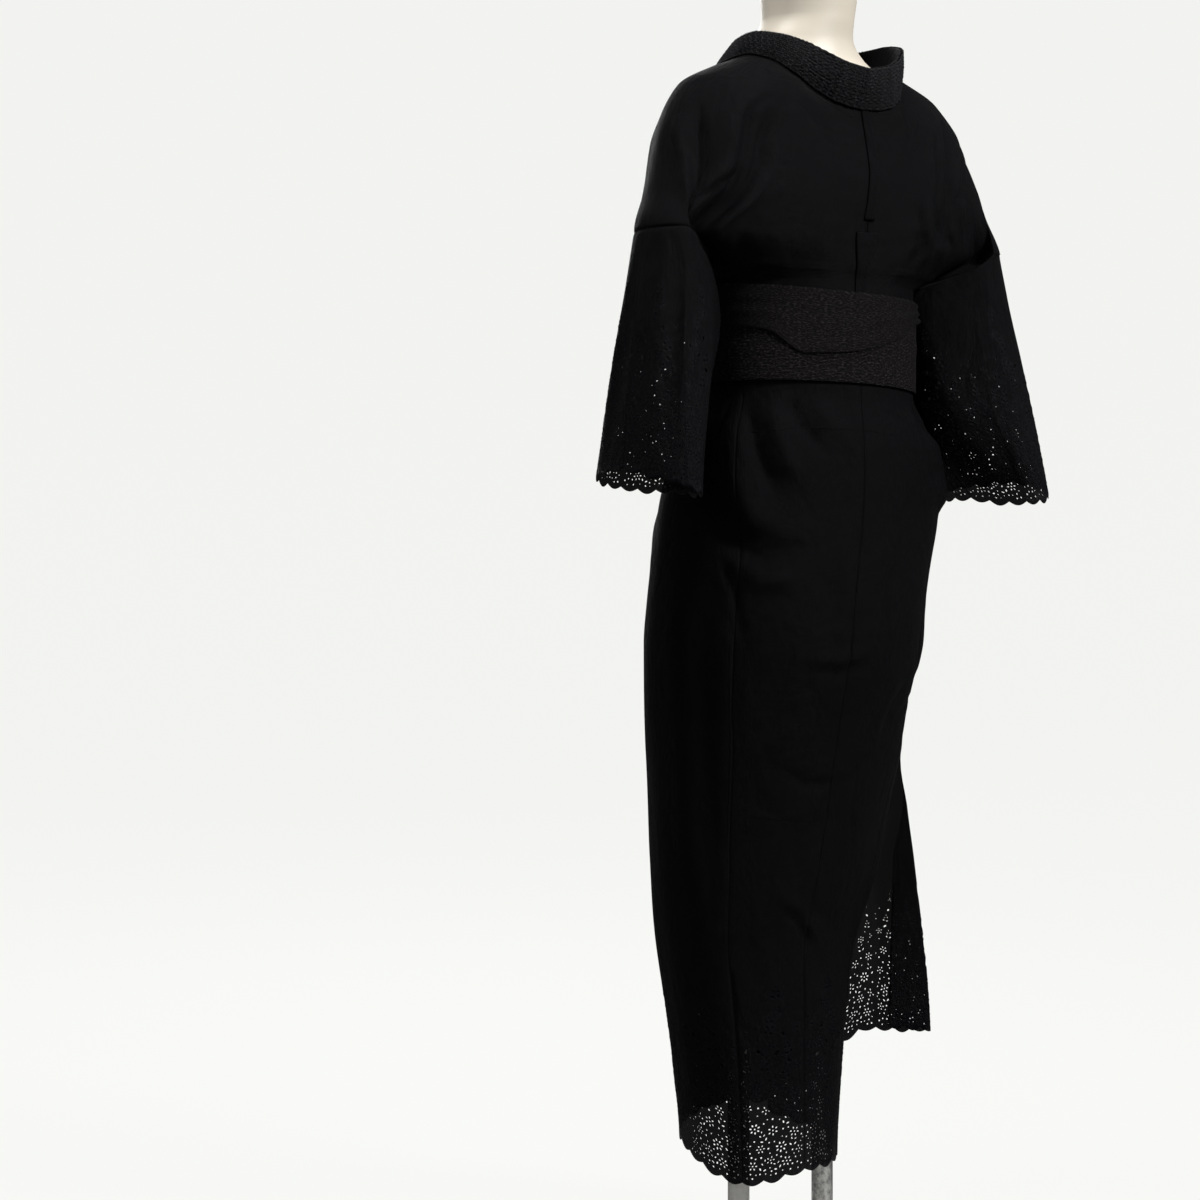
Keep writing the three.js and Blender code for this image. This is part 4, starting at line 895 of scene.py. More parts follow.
def collar_line(side, share):
    """The collar's stations from the nape to its end, at one share of its width: round the neck it
    stands from the neck seam to its free edge, and below it lies on the crossed fronts."""
    station = np.arange(NECK_STATIONS + 1.0)
    seam = shoulder_surface(side)(station, np.ones_like(station))
    angle = np.minimum(178, shoulder_angle(station, 1200.0))
    free = np.stack([side * along(COLLAR_EDGE, "angle", "x", angle), along(COLLAR_EDGE, "angle", "y", angle),
                     along(COLLAR_EDGE, "angle", "z", angle)], -1)
    free[:, 1] += (UNDER_LAYER if side < 0 else 0) * smooth(100, 140, angle)
    if side < 0:
        shift = 13 * smooth(0, 30, angle) * smooth(150, 110, angle)
        free += shift[:, None] * np.array((-0.8, 0.6, 0.15))
    way = free - seam
    way /= np.linalg.norm(way, axis=-1, keepdims=True)
    lean = np.stack([side * np.sin(np.radians(angle)), np.cos(np.radians(angle)), 0 * angle], -1)
    bulge = 2 * np.sin(np.pi * share) * np.where(angle < 100, 1, 0.5)
    neck = mix(seam + way * 2.4 * SEAM_GAP, free, share) + lean * bulge[:, None]
    z = np.array(CROSS_LEVELS, float)
    grown = np.clip((1172 - z) / 60, 0, 1)
    seam_angle = np.where(z > WRAP_Z, front_end(z), edge_angle("collar", z))
    width = degrees_of(COLLAR_WIDTH, seam_angle, z) * mix(0.5, 1, grown)
    across = side * (seam_angle + degrees_of(SEAM_GAP * 1.3, seam_angle, z) + width * share)
    cross = ring_point(across, z + 40 * (1 - grown) * share, -UNDER_LAYER if side < 0 else 0.0)
    return np.vstack([neck, cross])


def resample(line, count):
    """A line of points, straight in its own parameter with each point a smooth blend of three."""
    place = np.linspace(0, len(line) - 1, count)
    raw = np.stack([np.interp(place, np.arange(len(line)), line[:, axis]) for axis in range(3)], -1)
    soft = raw.copy()
    soft[1:-1] = 0.25 * raw[:-2] + 0.5 * raw[1:-1] + 0.25 * raw[2:]
    return soft


def collar_grid(cells, count, inset, fineness):
    """Rows of the collar from its seam to its free edge, each from the right end round to the left."""
    rows = []
    for share in np.linspace(inset, 1 - inset, count):
        right = collar_line(-1, share)[:cells + 1][::-1]
        left = collar_line(1, share)[:cells + 1]
        rows.append(resample(np.vstack([right[:-1], left]), fineness * cells + 1))
    return np.array(rows)


def sheet_normals(rows):
    """Outward normals of a grid of points that runs from the wearer's right to the left."""
    across = np.gradient(rows, axis=1)
    upward = np.gradient(rows, axis=0)
    normal = -np.cross(across, upward)
    return normal / np.maximum(np.linalg.norm(normal, axis=-1, keepdims=True), 1e-9)


def band_mesh(name, rows, relief=None):
    """A grid of points as a mesh, with its flat places measured along its middle row."""
    middle = rows[len(rows) // 2]
    length = np.concatenate([[0], np.cumsum(np.linalg.norm(np.diff(middle, axis=0), axis=1))])
    height = np.linspace(0, np.linalg.norm(rows[-1] - rows[0], axis=-1).mean(), len(rows))
    flat = np.stack(np.meshgrid(length, height), -1)
    rims = None
    if relief is not None:
        raised = relief(flat[..., 0], flat[..., 1])
        rows = rows + sheet_normals(rows) * raised[..., None]
        rims = np.clip(raised.ravel() / raised.max(), 0, 1) ** 1.5
    faces = grid_faces(*rows.shape[:2])[:, ::-1]
    return make_mesh(name, rows.reshape(-1, 3), faces.tolist(), flat.reshape(-1, 2), rims)


def collar():
    rows = collar_grid(COLLAR_CELLS, 9, 0, 12)
    place = np.linspace(-1, 1, rows.shape[1])
    rows = rows + sheet_normals(rows) * (0.8 - 3.2 * smooth(0.955, 1, np.abs(place)))[None, :, None]
    return band_mesh("collar_cloth", rows)


def rosette_relief(x, y):
    """Close embroidery: a ringed flower of six petals in each cell of 9 by 8 mm, every second row set over by
    half a cell, with small knots between them."""
    drift = 0.8 * np.sin(x / 17) * np.cos(y / 11)
    row = np.floor(y / 8)
    place_x = np.mod(x + drift + 4.5 * np.mod(row, 2), 9) - 4.5
    place_y = np.mod(y, 8) - 4
    away = np.hypot(place_x, place_y)
    petals = 0.5 + 0.5 * np.cos(6 * np.arctan2(place_y, place_x))
    ring = np.exp(-((away - 2.7 - 0.9 * petals) / 0.55) ** 2)
    heart = np.exp(-(away / 1.0) ** 2)
    spokes = 0.6 * petals * np.exp(-((away - 2) / 0.9) ** 2)
    knots = 0.7 * np.exp(-((away - 5.0) / 0.5) ** 2)
    return 2.1 * np.maximum.reduce([ring, heart, spokes, knots])


def half_collar():
    rows = collar_grid(24, 42, 0.04, 27)
    picot = 1.1 * np.abs(np.sin(np.arange(rows.shape[1]) * np.pi / 5.2))
    way = rows[-1] - rows[-2]
    way /= np.linalg.norm(way, axis=-1, keepdims=True)
    rows[-1] += way * (picot[:, None] + 0.4)
    rows = rows + sheet_normals(rows) * 2.3
    return band_mesh("half_collar_lace", rows, rosette_relief)


# ---- Belt and straps ----------------------------------------------------------------
TWIST_ANGLE = -50.0
BELT_MIDDLE, BELT_ROUND, BELT_WIDTH = 1045.0, 780, 105
# How far the two wraps' outer faces stand off the robe, and how much lower the second one's top is.
FIRST_RAISED, SECOND_RAISED, SECOND_CUT = 3.2, 5.7, 2


def belt_wrap(name, low, high, raised, high_cut, wall, creases):
    """A closed band of crepe: its section runs up the outer face, over a rolled edge, down the inner
    face and round again; creases push the outer face in and out."""
    steps = 288
    angle = -180 + np.arange(steps) * 360 / steps
    bottom = along(low, "angle", "z", angle)
    top = along(high, "angle", "z", angle) - high_cut
    rising = np.concatenate([[0, 0.006, 0.02], np.linspace(0.05, 0.95, 22), [0.98, 0.994, 1]])
    falling = np.array([0.994, 0.97, 0.8, 0.6, 0.4, 0.2, 0.03, 0.006])
    share = np.concatenate([rising, falling])
    depth = np.concatenate([[0.5, 0.15, 0], np.zeros(22), [0, 0.15, 0.5], [0.85, 1, 1, 1, 1, 1, 1, 0.85]])
    outer = (depth < 0.1)[:, None]
    share, depth = share[:, None], depth[:, None]
    push = raised - wall * depth + 0.5 * np.sin(np.pi * share) + np.where(outer, creases(angle, share), 0)
    spots = ring_point(angle + 0 * share, np.full_like(push, BELT_MIDDLE), push)
    spots[..., 2] = mix(bottom, top, share)
    count = len(share)
    spots = np.concatenate([spots, spots[:1]]).reshape(-1, 3)
    faces = ring_faces(count + 1, steps)
    run = np.broadcast_to(np.arange(steps) * BELT_ROUND / steps, (count + 1, steps))
    rise = np.broadcast_to(np.concatenate([share, share[:1]]) * BELT_WIDTH, (count + 1, steps))
    return make_mesh(name, spots, faces.tolist(), np.stack([run, rise], -1).reshape(-1, 2), merge=0.01)


def first_creases(angle, share):
    """Shallow creases that lie along the wrap and drop towards the wearer's left."""
    slope = share * 7.5 + 0.012 * angle
    return 0.35 * np.sin(2 * np.pi * slope / 2.4) * np.sin(np.pi * share) + 0.2 * np.sin(angle / 6 + 9 * share)


def second_creases(angle, share):
    """Creases that fan out from the twist at the wearer's right, and the twist's own soft knob."""
    away = np.abs(np.mod(angle - TWIST_ANGLE + 180, 360) - 180)
    fan = np.exp(-(away / 34) ** 2)
    folds = 1.2 * fan * np.sin(15 * share + 1.2 * np.sin(angle / 9)) * np.sin(np.pi * share)
    knob = 4.2 * np.exp(-((angle - TWIST_ANGLE) / 3.2) ** 2 - ((share - 0.14) / 0.16) ** 2)
    tuck = -1.6 * np.exp(-((angle - TWIST_ANGLE - 6) / 2.6) ** 2 - ((share - 0.3) / 0.25) ** 2)
    slack = 0.45 * np.sin(2 * np.pi * (share * 2.6 + angle / 210)) * np.sin(np.pi * share)
    return folds + knob + tuck + slack


def strap(name, half_turn, low, high, wall):
    """A flat strap on the centre of the back, over the body panels' own folds, with both its edges
    stitched down. Its half-width is in hundredths of a radian of ring angle."""
    shares = np.linspace(-1, 1, 17)
    heights = np.arange(low, high + 0.1, (high - low) / 40)
    angle = np.degrees(half_turn / 100) * shares
    grid_angle, grid_z = np.meshgrid(angle, heights)
    ridge = fold_out(grid_angle, grid_z)
    press = 0.4 * np.exp(-((np.abs(shares) - 0.86) / 0.07) ** 2)
    rows = ring_point(grid_angle, grid_z, ridge + wall + 0.5 - press)
    return band_mesh(name, rows)


# Straps: half-width, low and high end, and flat length in metres.
STRAPS = {"back_strap_loop": (3, 1174, 1299, 0.125), "back_strap_tab": (6, 1086, 1160, 0.075)}
# Rows of hand stitches, as ring angle and height: the seat lining's edges and the tab's two sides.
STITCHES = {
    "seat_stitches_top": [(54, 935), (30, 941), (0, 940), (-25, 935)],
    "seat_stitches_low": [(34, 506), (18, 500), (3, 498)],
    "side_seam_stitches": [(50, 700), (48, 600), (47.5, 480)],
    "neck_stitches_left": [(6, 1288), (26, 1322), (46, 1344)],
}


STITCH_LENGTH, STITCH_GAP, STITCH_RAISED, STITCH_RADIUS = 3.2, 2.6, 0.1, 0.32


def stitch_line(name, path):
    """A row of short stitches along a path of ring angle and height: each is a small six-sided bead."""
    path = np.array(path, float)
    lengths = np.hypot(np.diff(path[:, 0]) * 2, np.diff(path[:, 1]))
    total = np.concatenate([[0], np.cumsum(lengths)])
    starts = np.arange(0, total[-1] - STITCH_LENGTH, STITCH_LENGTH + STITCH_GAP)
    steps = np.array([0, 0.15, 0.5, 0.85, 1])
    sizes = np.array([0.1, 0.8, 1, 0.8, 0.1])
    round_turn = np.radians(np.arange(6) * 60)
    place = starts[:, None] + steps * STITCH_LENGTH
    angle = np.interp(place, total, path[:, 0])
    z = np.interp(place, total, path[:, 1])
    middle = ring_point(angle, z, fold_out(angle, z) + STITCH_RAISED)
    ahead = np.gradient(middle, axis=1)
    ahead /= np.linalg.norm(ahead, axis=-1, keepdims=True)
    out = ring_point(angle, z, 1.0) - ring_point(angle, z, 0.0)
    aside = np.cross(ahead, out)
    ring = middle[:, :, None] + STITCH_RADIUS * sizes[:, None, None] * (
        np.cos(round_turn)[:, None] * aside[:, :, None] + np.sin(round_turn)[:, None] * out[:, :, None])
    count = len(starts)
    spots = ring.reshape(-1, 3)
    base = np.arange(count)[:, None, None] * 30 + np.arange(4)[None, :, None] * 6
    here, there = np.arange(6), (np.arange(6) + 1) % 6
    faces = np.stack([base + here, base + there, base + there + 6, base + here + 6], -1).reshape(-1, 4)
    return make_mesh(name, spots, faces.tolist())


# ---- Materials ----------------------------------------------------------------------
def set_inputs(tree, node, inputs):
    """Links each input whose value is a socket, and sets the others."""
    for name, value in inputs.items():
        if isinstance(value, bpy.types.NodeSocket):
            tree.links.new(value, node.inputs[name])
        else:
            node.inputs[name].default_value = value


def add(tree, kind, inputs=None, **settings):
    """Adds a node with its settings, its values and its links."""
    made = tree.nodes.new(kind)
    for name, value in settings.items():
        setattr(made, name, value)
    set_inputs(tree, made, inputs or {})
    return made


def new_material(name):
    """An empty material, its node tree, its Principled shader and the scene's colours."""
    made = bpy.data.materials.get(name) or bpy.data.materials.new(name)
    made.use_nodes = True
    tree = made.node_tree
    tree.nodes.clear()
    shader = add(tree, "ShaderNodeBsdfPrincipled")
    add(tree, "ShaderNodeOutputMaterial", {"Surface": shader.outputs["BSDF"]})
    return made, tree, shader, bpy.context.scene.juban_colours


def rgba(colour, factor=1.0, extra=0.0):
    return (*(part * factor + extra for part in colour), 1.0)


def flat_place(tree):
    return add(tree, "ShaderNodeUVMap", uv_map=UV_NAME).outputs["UV"]


def object_place(tree):
    return add(tree, "ShaderNodeTexCoord").outputs["Object"]


def stitched_rims(tree):
    return add(tree, "ShaderNodeAttribute", attribute_name=RIM_NAME).outputs["Fac"]


def stretched(tree, place, scale):
    return add(tree, "ShaderNodeMapping", {"Vector": place, "Scale": scale}).outputs["Vector"]


def noise(tree, place, scale, detail, **more):
    """Uneven, cloudy values from 0 to 1."""
    inputs = {"Vector": place, "Scale": scale, "Detail": detail, **more}
    return add(tree, "ShaderNodeTexNoise", inputs).outputs["Fac"]


def cells(tree, place, scale):
    """Distance to the middle of the nearest of many scattered cells."""
    return add(tree, "ShaderNodeTexVoronoi", {"Vector": place, "Scale": scale}).outputs["Distance"]


def threads(tree, place, spacing, waver, direction, detail=2.0):
    """Wavering bands of thread, a spacing in millimetres apart."""
    inputs = {"Vector": place, "Scale": 2 * math.pi / (20 * spacing), "Distortion": waver, "Detail": detail}
    return add(tree, "ShaderNodeTexWave", inputs, bands_direction=direction).outputs["Fac"]


def plus(tree, first, second):
    return add(tree, "ShaderNodeMath", {0: first, 1: second}, operation="ADD").outputs[0]


def ranged(tree, value, low=0.0, high=1.0, start=0.0, end=1.0):
    """A value between start and end, drawn out to the range from low to high."""
    return add(tree, "ShaderNodeMapRange", {"Value": value, "From Min": start, "From Max": end, "To Min": low,
                                            "To Max": high}).outputs["Result"]


def blend(tree, share, first, second):
    """A colour between two others."""
    made = add(tree, "ShaderNodeMix", data_type="RGBA", blend_type="MIX")
    set_inputs(tree, made, {0: share, 6: first, 7: second})
    return made.outputs[2]


def bumps(tree, height, strength, distance, **under):
    """A normal from a height; another normal may lie under it."""
    return add(tree, "ShaderNodeBump", {"Height": height, "Strength": strength, "Distance": distance,
                                        **under}).outputs["Normal"]


def cotton_lawn(name, alpha):
    """Black cotton lawn, plain woven and piece-dyed: soft, with uneven yarns, and satin-stitched rims.

    Its threads are 0.25 mm apart, drawn 0.9 mm apart so that they show. The eye sees a deep black
    with a faint bloom at grazing light, thin enough in one layer for a little light to pass."""
    made, tree, shader, colours = new_material(name)
    place, rim = flat_place(tree), stitched_rims(tree)
    weave = plus(tree, threads(tree, place, 0.9, 1.2, "X"), threads(tree, place, 0.9, 1.6, "Y"))
    slub = noise(tree, stretched(tree, place, (0.03, 0.7, 1)), 1.0, 3.0)
    streak = noise(tree, stretched(tree, place, (0.6, 0.02, 1)), 1.0, 2.0)
    yarns = plus(tree, slub, streak)
    height = add(tree, "ShaderNodeMath", {0: yarns, 1: 1.6, 2: weave}, operation="MULTIPLY_ADD").outputs[0]
    stitch = threads(tree, place, 1.1, 3.0, "DIAGONAL")
    relief = add(tree, "ShaderNodeMix", {0: rim, 2: height, 3: stitch}).outputs[0]
    rumple = noise(tree, stretched(tree, place, (0.035, 0.014, 1)), 1.0, 3.0, Roughness=0.55, Distortion=0.6)
    normal = bumps(tree, rumple, 0.5, 0.012, Normal=bumps(tree, relief, 0.6, 0.0004))
    worn = rgba(colours.cloth, 1.7, 0.0006)
    ground = blend(tree, ranged(tree, yarns, start=0.7, end=1.3), rgba(colours.cloth), worn)
    faded = blend(tree, noise(tree, place, 0.012, 4.0), ground, rgba(colours.cloth, 1.3))
    set_inputs(tree, shader, {
        "Base Color": blend(tree, rim, faded, rgba(colours.thread)), "Roughness": ranged(tree, rim, 0.64, 0.45),
        "Normal": normal, "Sheen Weight": 0.004, "Sheen Roughness": 0.45, "Specular IOR Level": 0.06,
        "Alpha": alpha})
    return made


def embroidered_collar():
    """Black cotton with close machine embroidery: raised thread catches light over a matt ground. Its colour also
    carries painted light: a painted highlight on the relief's raised peaks and painted shade on the ground in its
    hollows.
    """
    made, tree, shader, colours = new_material("embroidered black cotton")
    place, rim = flat_place(tree), stitched_rims(tree)
    height = plus(tree, threads(tree, place, 0.9, 5.0, "DIAGONAL"), noise(tree, place, 1.2, 3.0))
    # Painted highlight and painted shade: the raised peaks get the thread colour at 2.4 times, and the ground in
    # the hollows gets the cloth colour at a fifth.
    colour = blend(tree, rim, rgba(colours.cloth, 0.2), rgba(colours.thread, 2.4))
    set_inputs(tree, shader, {
        "Base Color": colour, "Roughness": ranged(tree, rim, 0.9, 0.42),
        "Normal": bumps(tree, height, 0.6, 0.0004), "Specular IOR Level": 0.2})
    return made


def belt_crepe():
    """Charcoal-brown crepe of hard-twisted yarn: pebbled and matt, with paler fibres in the twist that
    follow the weft."""
    made, tree, shader, colours = new_material("charcoal brown crepe")
    place = flat_place(tree)
    squash = stretched(tree, place, (0.5, 1.0, 1))
    pebble = noise(tree, squash, 0.5, 4.0, Roughness=0.7)
    height = plus(tree, pebble, threads(tree, place, 1.6, 4.0, "Y", 3.0))
    height = plus(tree, height, cells(tree, squash, 0.42))
    fleck = ranged(tree, pebble, start=0.5, end=0.72)
    set_inputs(tree, shader, {
        "Base Color": blend(tree, fleck, rgba(colours.belt), rgba(colours.belt_fleck)),
        "Normal": bumps(tree, height, 1.0, 0.0018), "Roughness": 0.88, "Sheen Weight": 0.01,
        "Specular IOR Level": 0.06})
    return made


def form_shell():
    """Painted fibreglass shell of the form: ivory, satin, with the faint orange peel of a sprayed coat."""
    made, tree, shader, colours = new_material("ivory painted fibreglass")
    place = object_place(tree)
    cloud = noise(tree, place, 14.0, 4.0)
    set_inputs(tree, shader, {
        "Base Color": blend(tree, cloud, rgba(colours.form), rgba(colours.form, 0.9)),
        "Roughness": ranged(tree, cloud, 0.36, 0.5),
        "Normal": bumps(tree, noise(tree, place, 420.0, 2.0), 0.12, 0.0004)})
    return made


def tube_metal(name, colour, metallic, rough, mottle):
    """Steel tube, drawn and finished: fine marks run along it, and handling has left it mottled."""
    made, tree, shader, _ = new_material(name)
    place = object_place(tree)
    lines = noise(tree, stretched(tree, place, (1, 1, 0.03)), 900.0, 2.0)
    spots = noise(tree, place, 160.0, 5.0, Roughness=0.7)
    worn = ranged(tree, spots, high=mottle, start=0.42, end=0.62)
    set_inputs(tree, shader, {
        "Base Color": blend(tree, worn, rgba(colour), rgba(colour, 0.35)), "Metallic": metallic,
        "Roughness": ranged(tree, spots, rough, rough + 0.2), "Normal": bumps(tree, lines, 0.1, 0.0002)})
    return made


def base_steel():
    """Powder-coated steel plate: pale, satin, with the coat's fine pimples."""
    made, tree, shader, colours = new_material("pale powder-coated steel")
    place = object_place(tree)
    cloud = noise(tree, place, 9.0, 5.0)
    set_inputs(tree, shader, {
        "Base Color": blend(tree, cloud, rgba(colours.base), rgba(colours.base, 0.85)), "Roughness": 0.45,
        "Normal": bumps(tree, cells(tree, place, 700.0), 0.2, 0.0002)})
    return made


def studio_paper():
    """Matt seamless paper for the studio sweep, pale all over."""
    made, tree, shader, colours = new_material("pale studio paper")
    set_inputs(tree, shader, {
        "Base Color": rgba(colours.paper, 0.03), "Emission Color": rgba(colours.paper),
        "Emission Strength": 0.97, "Roughness": 0.95})
    return made


# ---- Settings that a user changes ---------------------------------------------------
def length_setting(name, description, millimetres):
    return bpy.props.FloatProperty(name=name, description=description, default=millimetres * MM, min=0.0,
                                   subtype="DISTANCE", unit="LENGTH", precision=4)


def colour_setting(name, description, code):
    return bpy.props.FloatVectorProperty(name=name, description=description, default=linear(code), size=3,
                                         min=0.0, max=1.0, subtype="COLOR")


class JubanSizes(bpy.types.PropertyGroup):
    """Thicknesses of the cloth pieces."""

    cloth_wall: length_setting("Cloth", "Thickness of the cotton lawn", 0.7)
    embroidery_height: length_setting("Embroidery", "How far stitched rims stand up", 0.4)
    collar_wall: length_setting("Collar", "Thickness of the folded collar band", 2.0)
    half_collar_wall: length_setting("Half-collar", "Thickness of the lace half-collar", 0.9)
    strap_wall: length_setting("Strap", "Thickness of the straps at the centre back", 1.0)
    belt_wall: length_setting("Belt", "Thickness of one wrap of the belt", 1.5)
    pole_radius: length_setting("Pole radius", "Half the thickness of a stand pole", 12.5)


class JubanColours(bpy.types.PropertyGroup):
    """Colours of the finishes."""

    cloth: colour_setting("Cloth", "Cotton lawn", "#060608")
    thread: colour_setting("Thread", "Embroidery thread", "#0D0D11")
    belt: colour_setting("Belt", "Belt crepe", "#161415")
    belt_fleck: colour_setting("Belt fleck", "Paler fibres in the belt", "#4E484B")
    form: colour_setting("Form", "Painted shell of the dress form", "#E6DCCB")
    left_pole: colour_setting("Left pole", "Painted steel tube", "#C6C5C1")
    right_pole: colour_setting("Right pole", "Plated steel tube", "#BCBCBA")
    base: colour_setting("Base", "Powder-coated base", "#DCDCD9")
    paper: colour_setting("Paper", "Studio sweep", "#F4F5F2")


# ---- Operators: one for each piece or group of like pieces --------------------------
def lawn():
    """The lawn of two or more layers, which no light comes through."""
    return bpy.data.materials.get("black cotton lawn") or cotton_lawn("black cotton lawn", 1.0)


def sheer_lawn():
    """One layer of the lawn where light comes through it from behind."""
    return bpy.data.materials.get("sheer black cotton lawn") or cotton_lawn("sheer black cotton lawn", 0.93)


class JUBAN_OT_body(bpy.types.Operator):
    """Make the two body panels, with lace along their hems"""

    bl_idname = "juban.body"
    bl_label = "Body panels"

    def execute(self, context):
        for side in (1, -1):
            piece = body_panel(side)
            finish_piece(piece, side_name(side) + "_body_panel", sheer_lawn())
            give_wall(piece, context.scene.juban_sizes.cloth_wall)
        return {"FINISHED"}


class JUBAN_OT_overlaps(bpy.types.Operator):
    """Make the two overlap panels: the upper one flies free and turns back, the under one is hidden"""

    bl_idname = "juban.overlaps"
    bl_label = "Overlap panels"

    def execute(self, context):
        upper = left_overlap()
        finish_piece(upper, "left_overlap_panel", sheer_lawn())
        under = right_overlap()
        finish_piece(under, "right_overlap_panel", sheer_lawn())
        for piece in (upper, under):
            give_wall(piece, context.scene.juban_sizes.cloth_wall)
        return {"FINISHED"}


class JUBAN_OT_sleeves(bpy.types.Operator):
    """Make the two sleeves in halves, each with lace round its rim"""

    bl_idname = "juban.sleeves"
    bl_label = "Sleeves"

    def execute(self, context):
        for side in (1, -1):
            for is_front in (False, True):
                node = side_name(side) + "_sleeve_" + ("front" if is_front else "back")
                piece = sleeve_half(node + "_cloth", side, is_front)
                finish_piece(piece, node, sheer_lawn())
                give_wall(piece, context.scene.juban_sizes.cloth_wall)
        return {"FINISHED"}


class JUBAN_OT_collars(bpy.types.Operator):
    """Make the folded collar band and the embroidered half-collar sewn over it"""

    bl_idname = "juban.collars"
    bl_label = "Collars"

    def execute(self, context):
        sizes = context.scene.juban_sizes
        band = collar()
        finish_piece(band, "collar", lawn())
        give_wall(band, sizes.collar_wall)
        lace = half_collar()
        finish_piece(lace, "half_collar", embroidered_collar())
        give_wall(lace, sizes.half_collar_wall)
        return {"FINISHED"}


class JUBAN_OT_belt(bpy.types.Operator):
    """Make the two wraps of the belt"""

    bl_idname = "juban.belt"
    bl_label = "Belt"

    def execute(self, context):
        wall = context.scene.juban_sizes.belt_wall / MM
        crepe = belt_crepe()
        first = belt_wrap("belt_first_cloth", BELT_LOW, BELT_HIGH, FIRST_RAISED, 0, wall, first_creases)
        finish_piece(first, "belt_first_wrap", crepe)
        second = belt_wrap("belt_second_cloth", SECOND_LOW, BELT_HIGH, SECOND_RAISED, SECOND_CUT, wall,
                           second_creases)
        finish_piece(second, "belt_second_wrap", crepe)
        return {"FINISHED"}


class JUBAN_OT_straps(bpy.types.Operator):
    """Make the straps at the centre back that draw the collar down, and the rows of hand stitches"""

    bl_idname = "juban.straps"
    bl_label = "Back straps"

    def execute(self, context):
        wall = context.scene.juban_sizes.strap_wall
        for node, (half_turn, low, high, long) in STRAPS.items():
            piece = strap(node + "_cloth", half_turn, low, high, wall / MM)
            finish_piece(piece, node, lawn())
            give_wall(piece, wall)
        for name, path in STITCHES.items():
            row = stitch_line(name, path)
            row.data.materials.append(lawn())
            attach(row, "root")
        return {"FINISHED"}


class JUBAN_OT_form(bpy.types.Operator):
    """Make the limbless dress form, smooth from its lower edge to the top of its neck"""

    bl_idname = "juban.form"
    bl_label = "Dress form"

    def execute(self, context):
        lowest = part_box("dress_form")[0][2] / MM
        low_z = np.array([lowest, lowest + 2, lowest + 6, 820, 860, 900, 945, 990, 1045, 1095])
        # The form stands this far inside the robe's rings, and its lower edge is rounded.
        shy = np.array([14, 10, 9, 9, 9, 9, 9, 9, 9, 9.0])
        rings = {"z": low_z}
        for name in ("cx", "cy", "wide", "back", "front"):
            rings[name] = along(RINGS, "z", name, low_z) - (0 if name[0] == "c" else shy)
        rings["back"][8] += 7
        rings = {name: np.concatenate([rings[name], FORM_RINGS[name]]) for name in FORM_RINGS}
        shoulder_up, rounding = np.linspace(lowest + 6, 1462, 120), np.linspace(1462, 1470, 9)
        heights = np.unique(np.concatenate([rings["z"], shoulder_up, rounding]))
        fine = {name: heights if name == "z" else along(rings, "z", name, heights) for name in rings}
        piece = lathe("dress_form_shell", fine, 96)
        finish_piece(piece, "dress_form", form_shell())
        return {"FINISHED"}


class JUBAN_OT_stand(bpy.types.Operator):
    """Make the stand: two round poles and a round base plate"""

    bl_idname = "juban.stand"
    bl_label = "Stand"

    def execute(self, context):
        colours = context.scene.juban_colours
        radius = context.scene.juban_sizes.pole_radius / MM
        finishes = {
            "stand_pole_left": tube_metal("grey painted steel tube", colours.left_pole, 0.15, 0.42, 0.15),
            "stand_pole_right": tube_metal("plated steel tube", colours.right_pole, 1.0, 0.22, 0.85),
        }
        for node, finish in finishes.items():
            low, high = (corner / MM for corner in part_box(node))
            middle = (low + high) / 2
            z = np.array([low[2], low[2] + 0.6, high[2] - 0.6, high[2]])
            size = np.array([radius - 0.6, radius, radius, radius - 0.6])
            same = np.ones_like(z)
            rings = dict(z=z, cx=middle[0] * same, cy=middle[1] * same, wide=size, back=size, front=size)
            finish_piece(lathe(node + "_tube", rings, 48), node, finish)
        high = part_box("stand_base")[1] / MM
        size = high[0] - np.array([0.8, 0.2, 0, 0, 0.5, 1.5])
        z = np.array([0, 0.3, 1, high[2] - 1.5, high[2] - 0.5, high[2]])
        none = np.zeros_like(z)
        rings = dict(z=z, cx=none, cy=none, wide=size, back=size, front=size)
        finish_piece(lathe("stand_base_plate", rings, 128), "stand_base", base_steel())
        return {"FINISHED"}


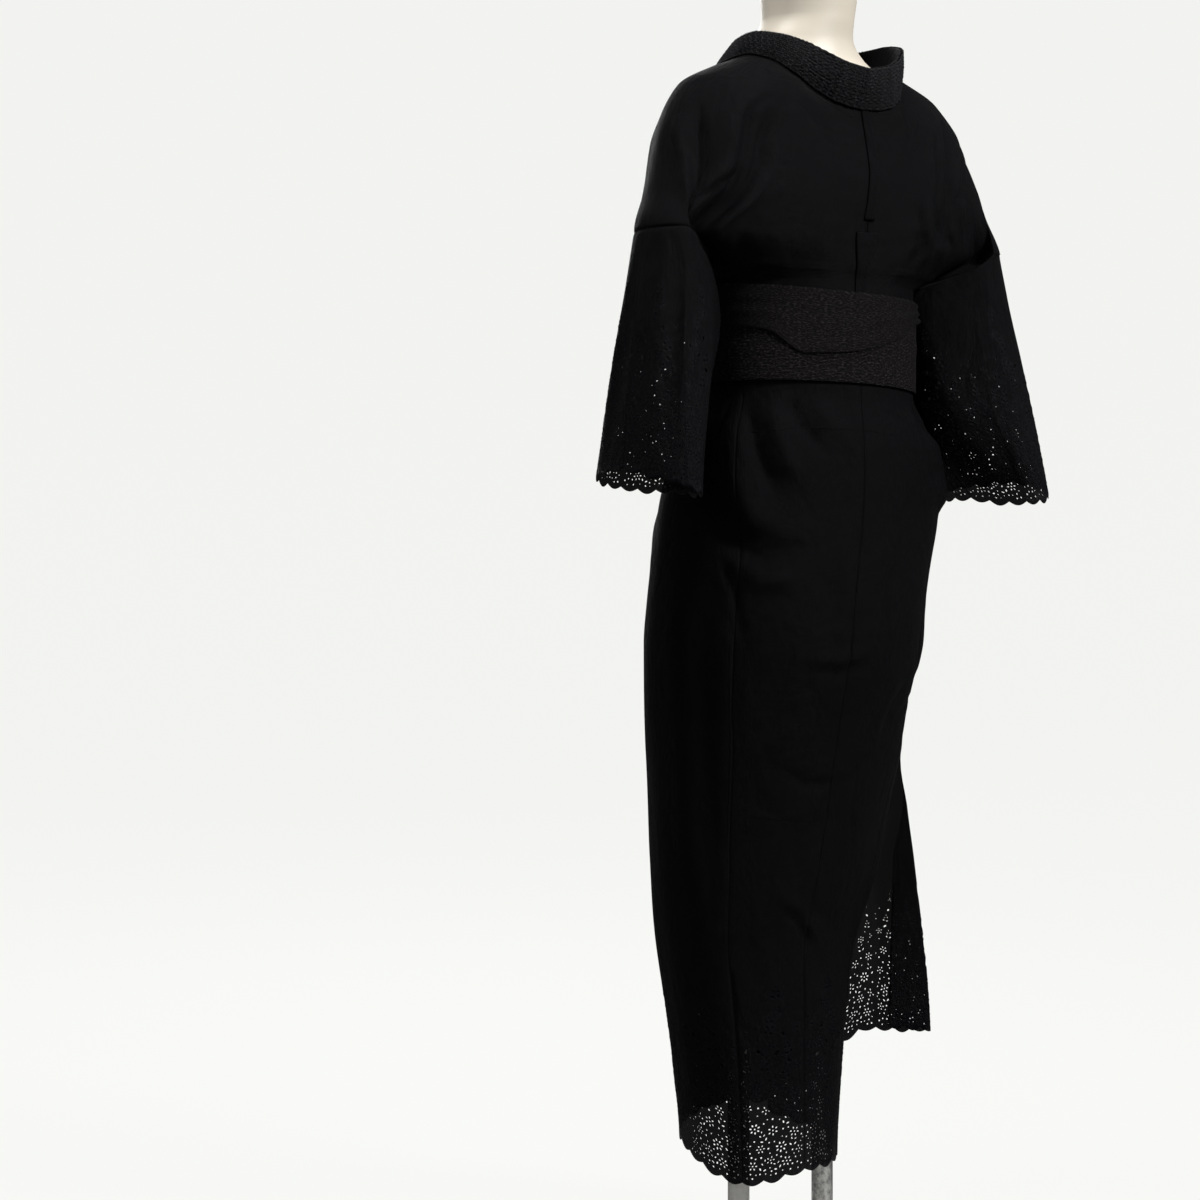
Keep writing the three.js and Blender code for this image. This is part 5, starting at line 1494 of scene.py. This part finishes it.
class JUBAN_OT_stage(bpy.types.Operator):
    """Make the pale paper sweep, the soft lights and the camera"""

    bl_idname = "juban.stage"
    bl_label = "Studio"

    def execute(self, context):
        # A level floor, a quarter round up to the wall, and the wall. Radii and heights in metres.
        turn = np.radians(np.arange(0, 91, 6))
        radius = np.concatenate([[0.5, 1.5, 3.0], 3.0 + 4.0 * np.sin(turn[1:]), [7.0, 7.0]]) / MM
        z = np.concatenate([[0, 0, 0], 4.0 * (1 - np.cos(turn[1:])), [5.0, 6.5]]) / MM
        around = np.radians(np.arange(96) * 360 / 96)
        spots = np.stack([radius[:, None] * np.cos(around), radius[:, None] * np.sin(around),
                          z[:, None] + 0 * around], -1)
        faces = ring_faces(len(z), 96).tolist()
        faces.append(list(range(96)))
        floor = make_mesh("studio_sweep", spots.reshape(-1, 3), faces)
        floor.data.materials.append(studio_paper())
        floor.visible_diffuse = False
        floor.visible_glossy = False
        world = bpy.data.worlds.new("studio")
        world.use_nodes = True
        world.node_tree.nodes["Background"].inputs["Color"].default_value = (0.93, 0.94, 0.93, 1)
        world.node_tree.nodes["Background"].inputs["Strength"].default_value = 0.15
        context.scene.world = world
        for name, place, size, power in LIGHTS:
            light = bpy.data.lights.new(name, "AREA")
            light.size = size
            light.energy = power
            lamp = bpy.data.objects.new(name, light)
            lamp.location = place
            lamp.rotation_euler = (Vector((0, 0, 1.0)) - Vector(place)).to_track_quat("-Z", "Y").to_euler()
            lamp.visible_camera = False
            context.scene.collection.objects.link(lamp)
        camera = bpy.data.cameras.new("camera")
        camera.lens = CAMERA_LENS
        camera.sensor_width = 36
        eye = bpy.data.objects.new("camera", camera)
        eye.location = CAMERA_PLACE
        eye.rotation_euler = Vector(CAMERA_WAY).to_track_quat("-Z", "Y").to_euler()
        context.scene.collection.objects.link(eye)
        context.scene.camera = eye
        context.scene.view_settings.view_transform = "Standard"
        return {"FINISHED"}


OPERATORS = (JUBAN_OT_stage, JUBAN_OT_stand, JUBAN_OT_form, JUBAN_OT_body, JUBAN_OT_overlaps, JUBAN_OT_sleeves,
             JUBAN_OT_collars, JUBAN_OT_straps, JUBAN_OT_belt)


class JUBAN_PT_panel(bpy.types.Panel):
    """Lists the pieces and their settings"""

    bl_idname = "JUBAN_PT_panel"
    bl_label = "Juban"
    bl_space_type = "VIEW_3D"
    bl_region_type = "UI"
    bl_category = "Juban"

    def draw(self, context):
        for operator in OPERATORS:
            self.layout.operator(operator.bl_idname)
        for group in (context.scene.juban_sizes, context.scene.juban_colours):
            for name in group.__annotations__:
                self.layout.prop(group, name)


CLASSES = (JubanSizes, JubanColours, *OPERATORS, JUBAN_PT_panel)


def register():
    for made in CLASSES:
        bpy.utils.register_class(made)
    bpy.types.Scene.juban_sizes = bpy.props.PointerProperty(type=JubanSizes)
    bpy.types.Scene.juban_colours = bpy.props.PointerProperty(type=JubanColours)


def unregister():
    del bpy.types.Scene.juban_colours
    del bpy.types.Scene.juban_sizes
    for made in reversed(CLASSES):
        bpy.utils.unregister_class(made)


def main():
    register()
    for operator in OPERATORS:
        name = operator.bl_idname.split(".")[1]
        getattr(bpy.ops.juban, name)()


if __name__ == "__main__":
    main()
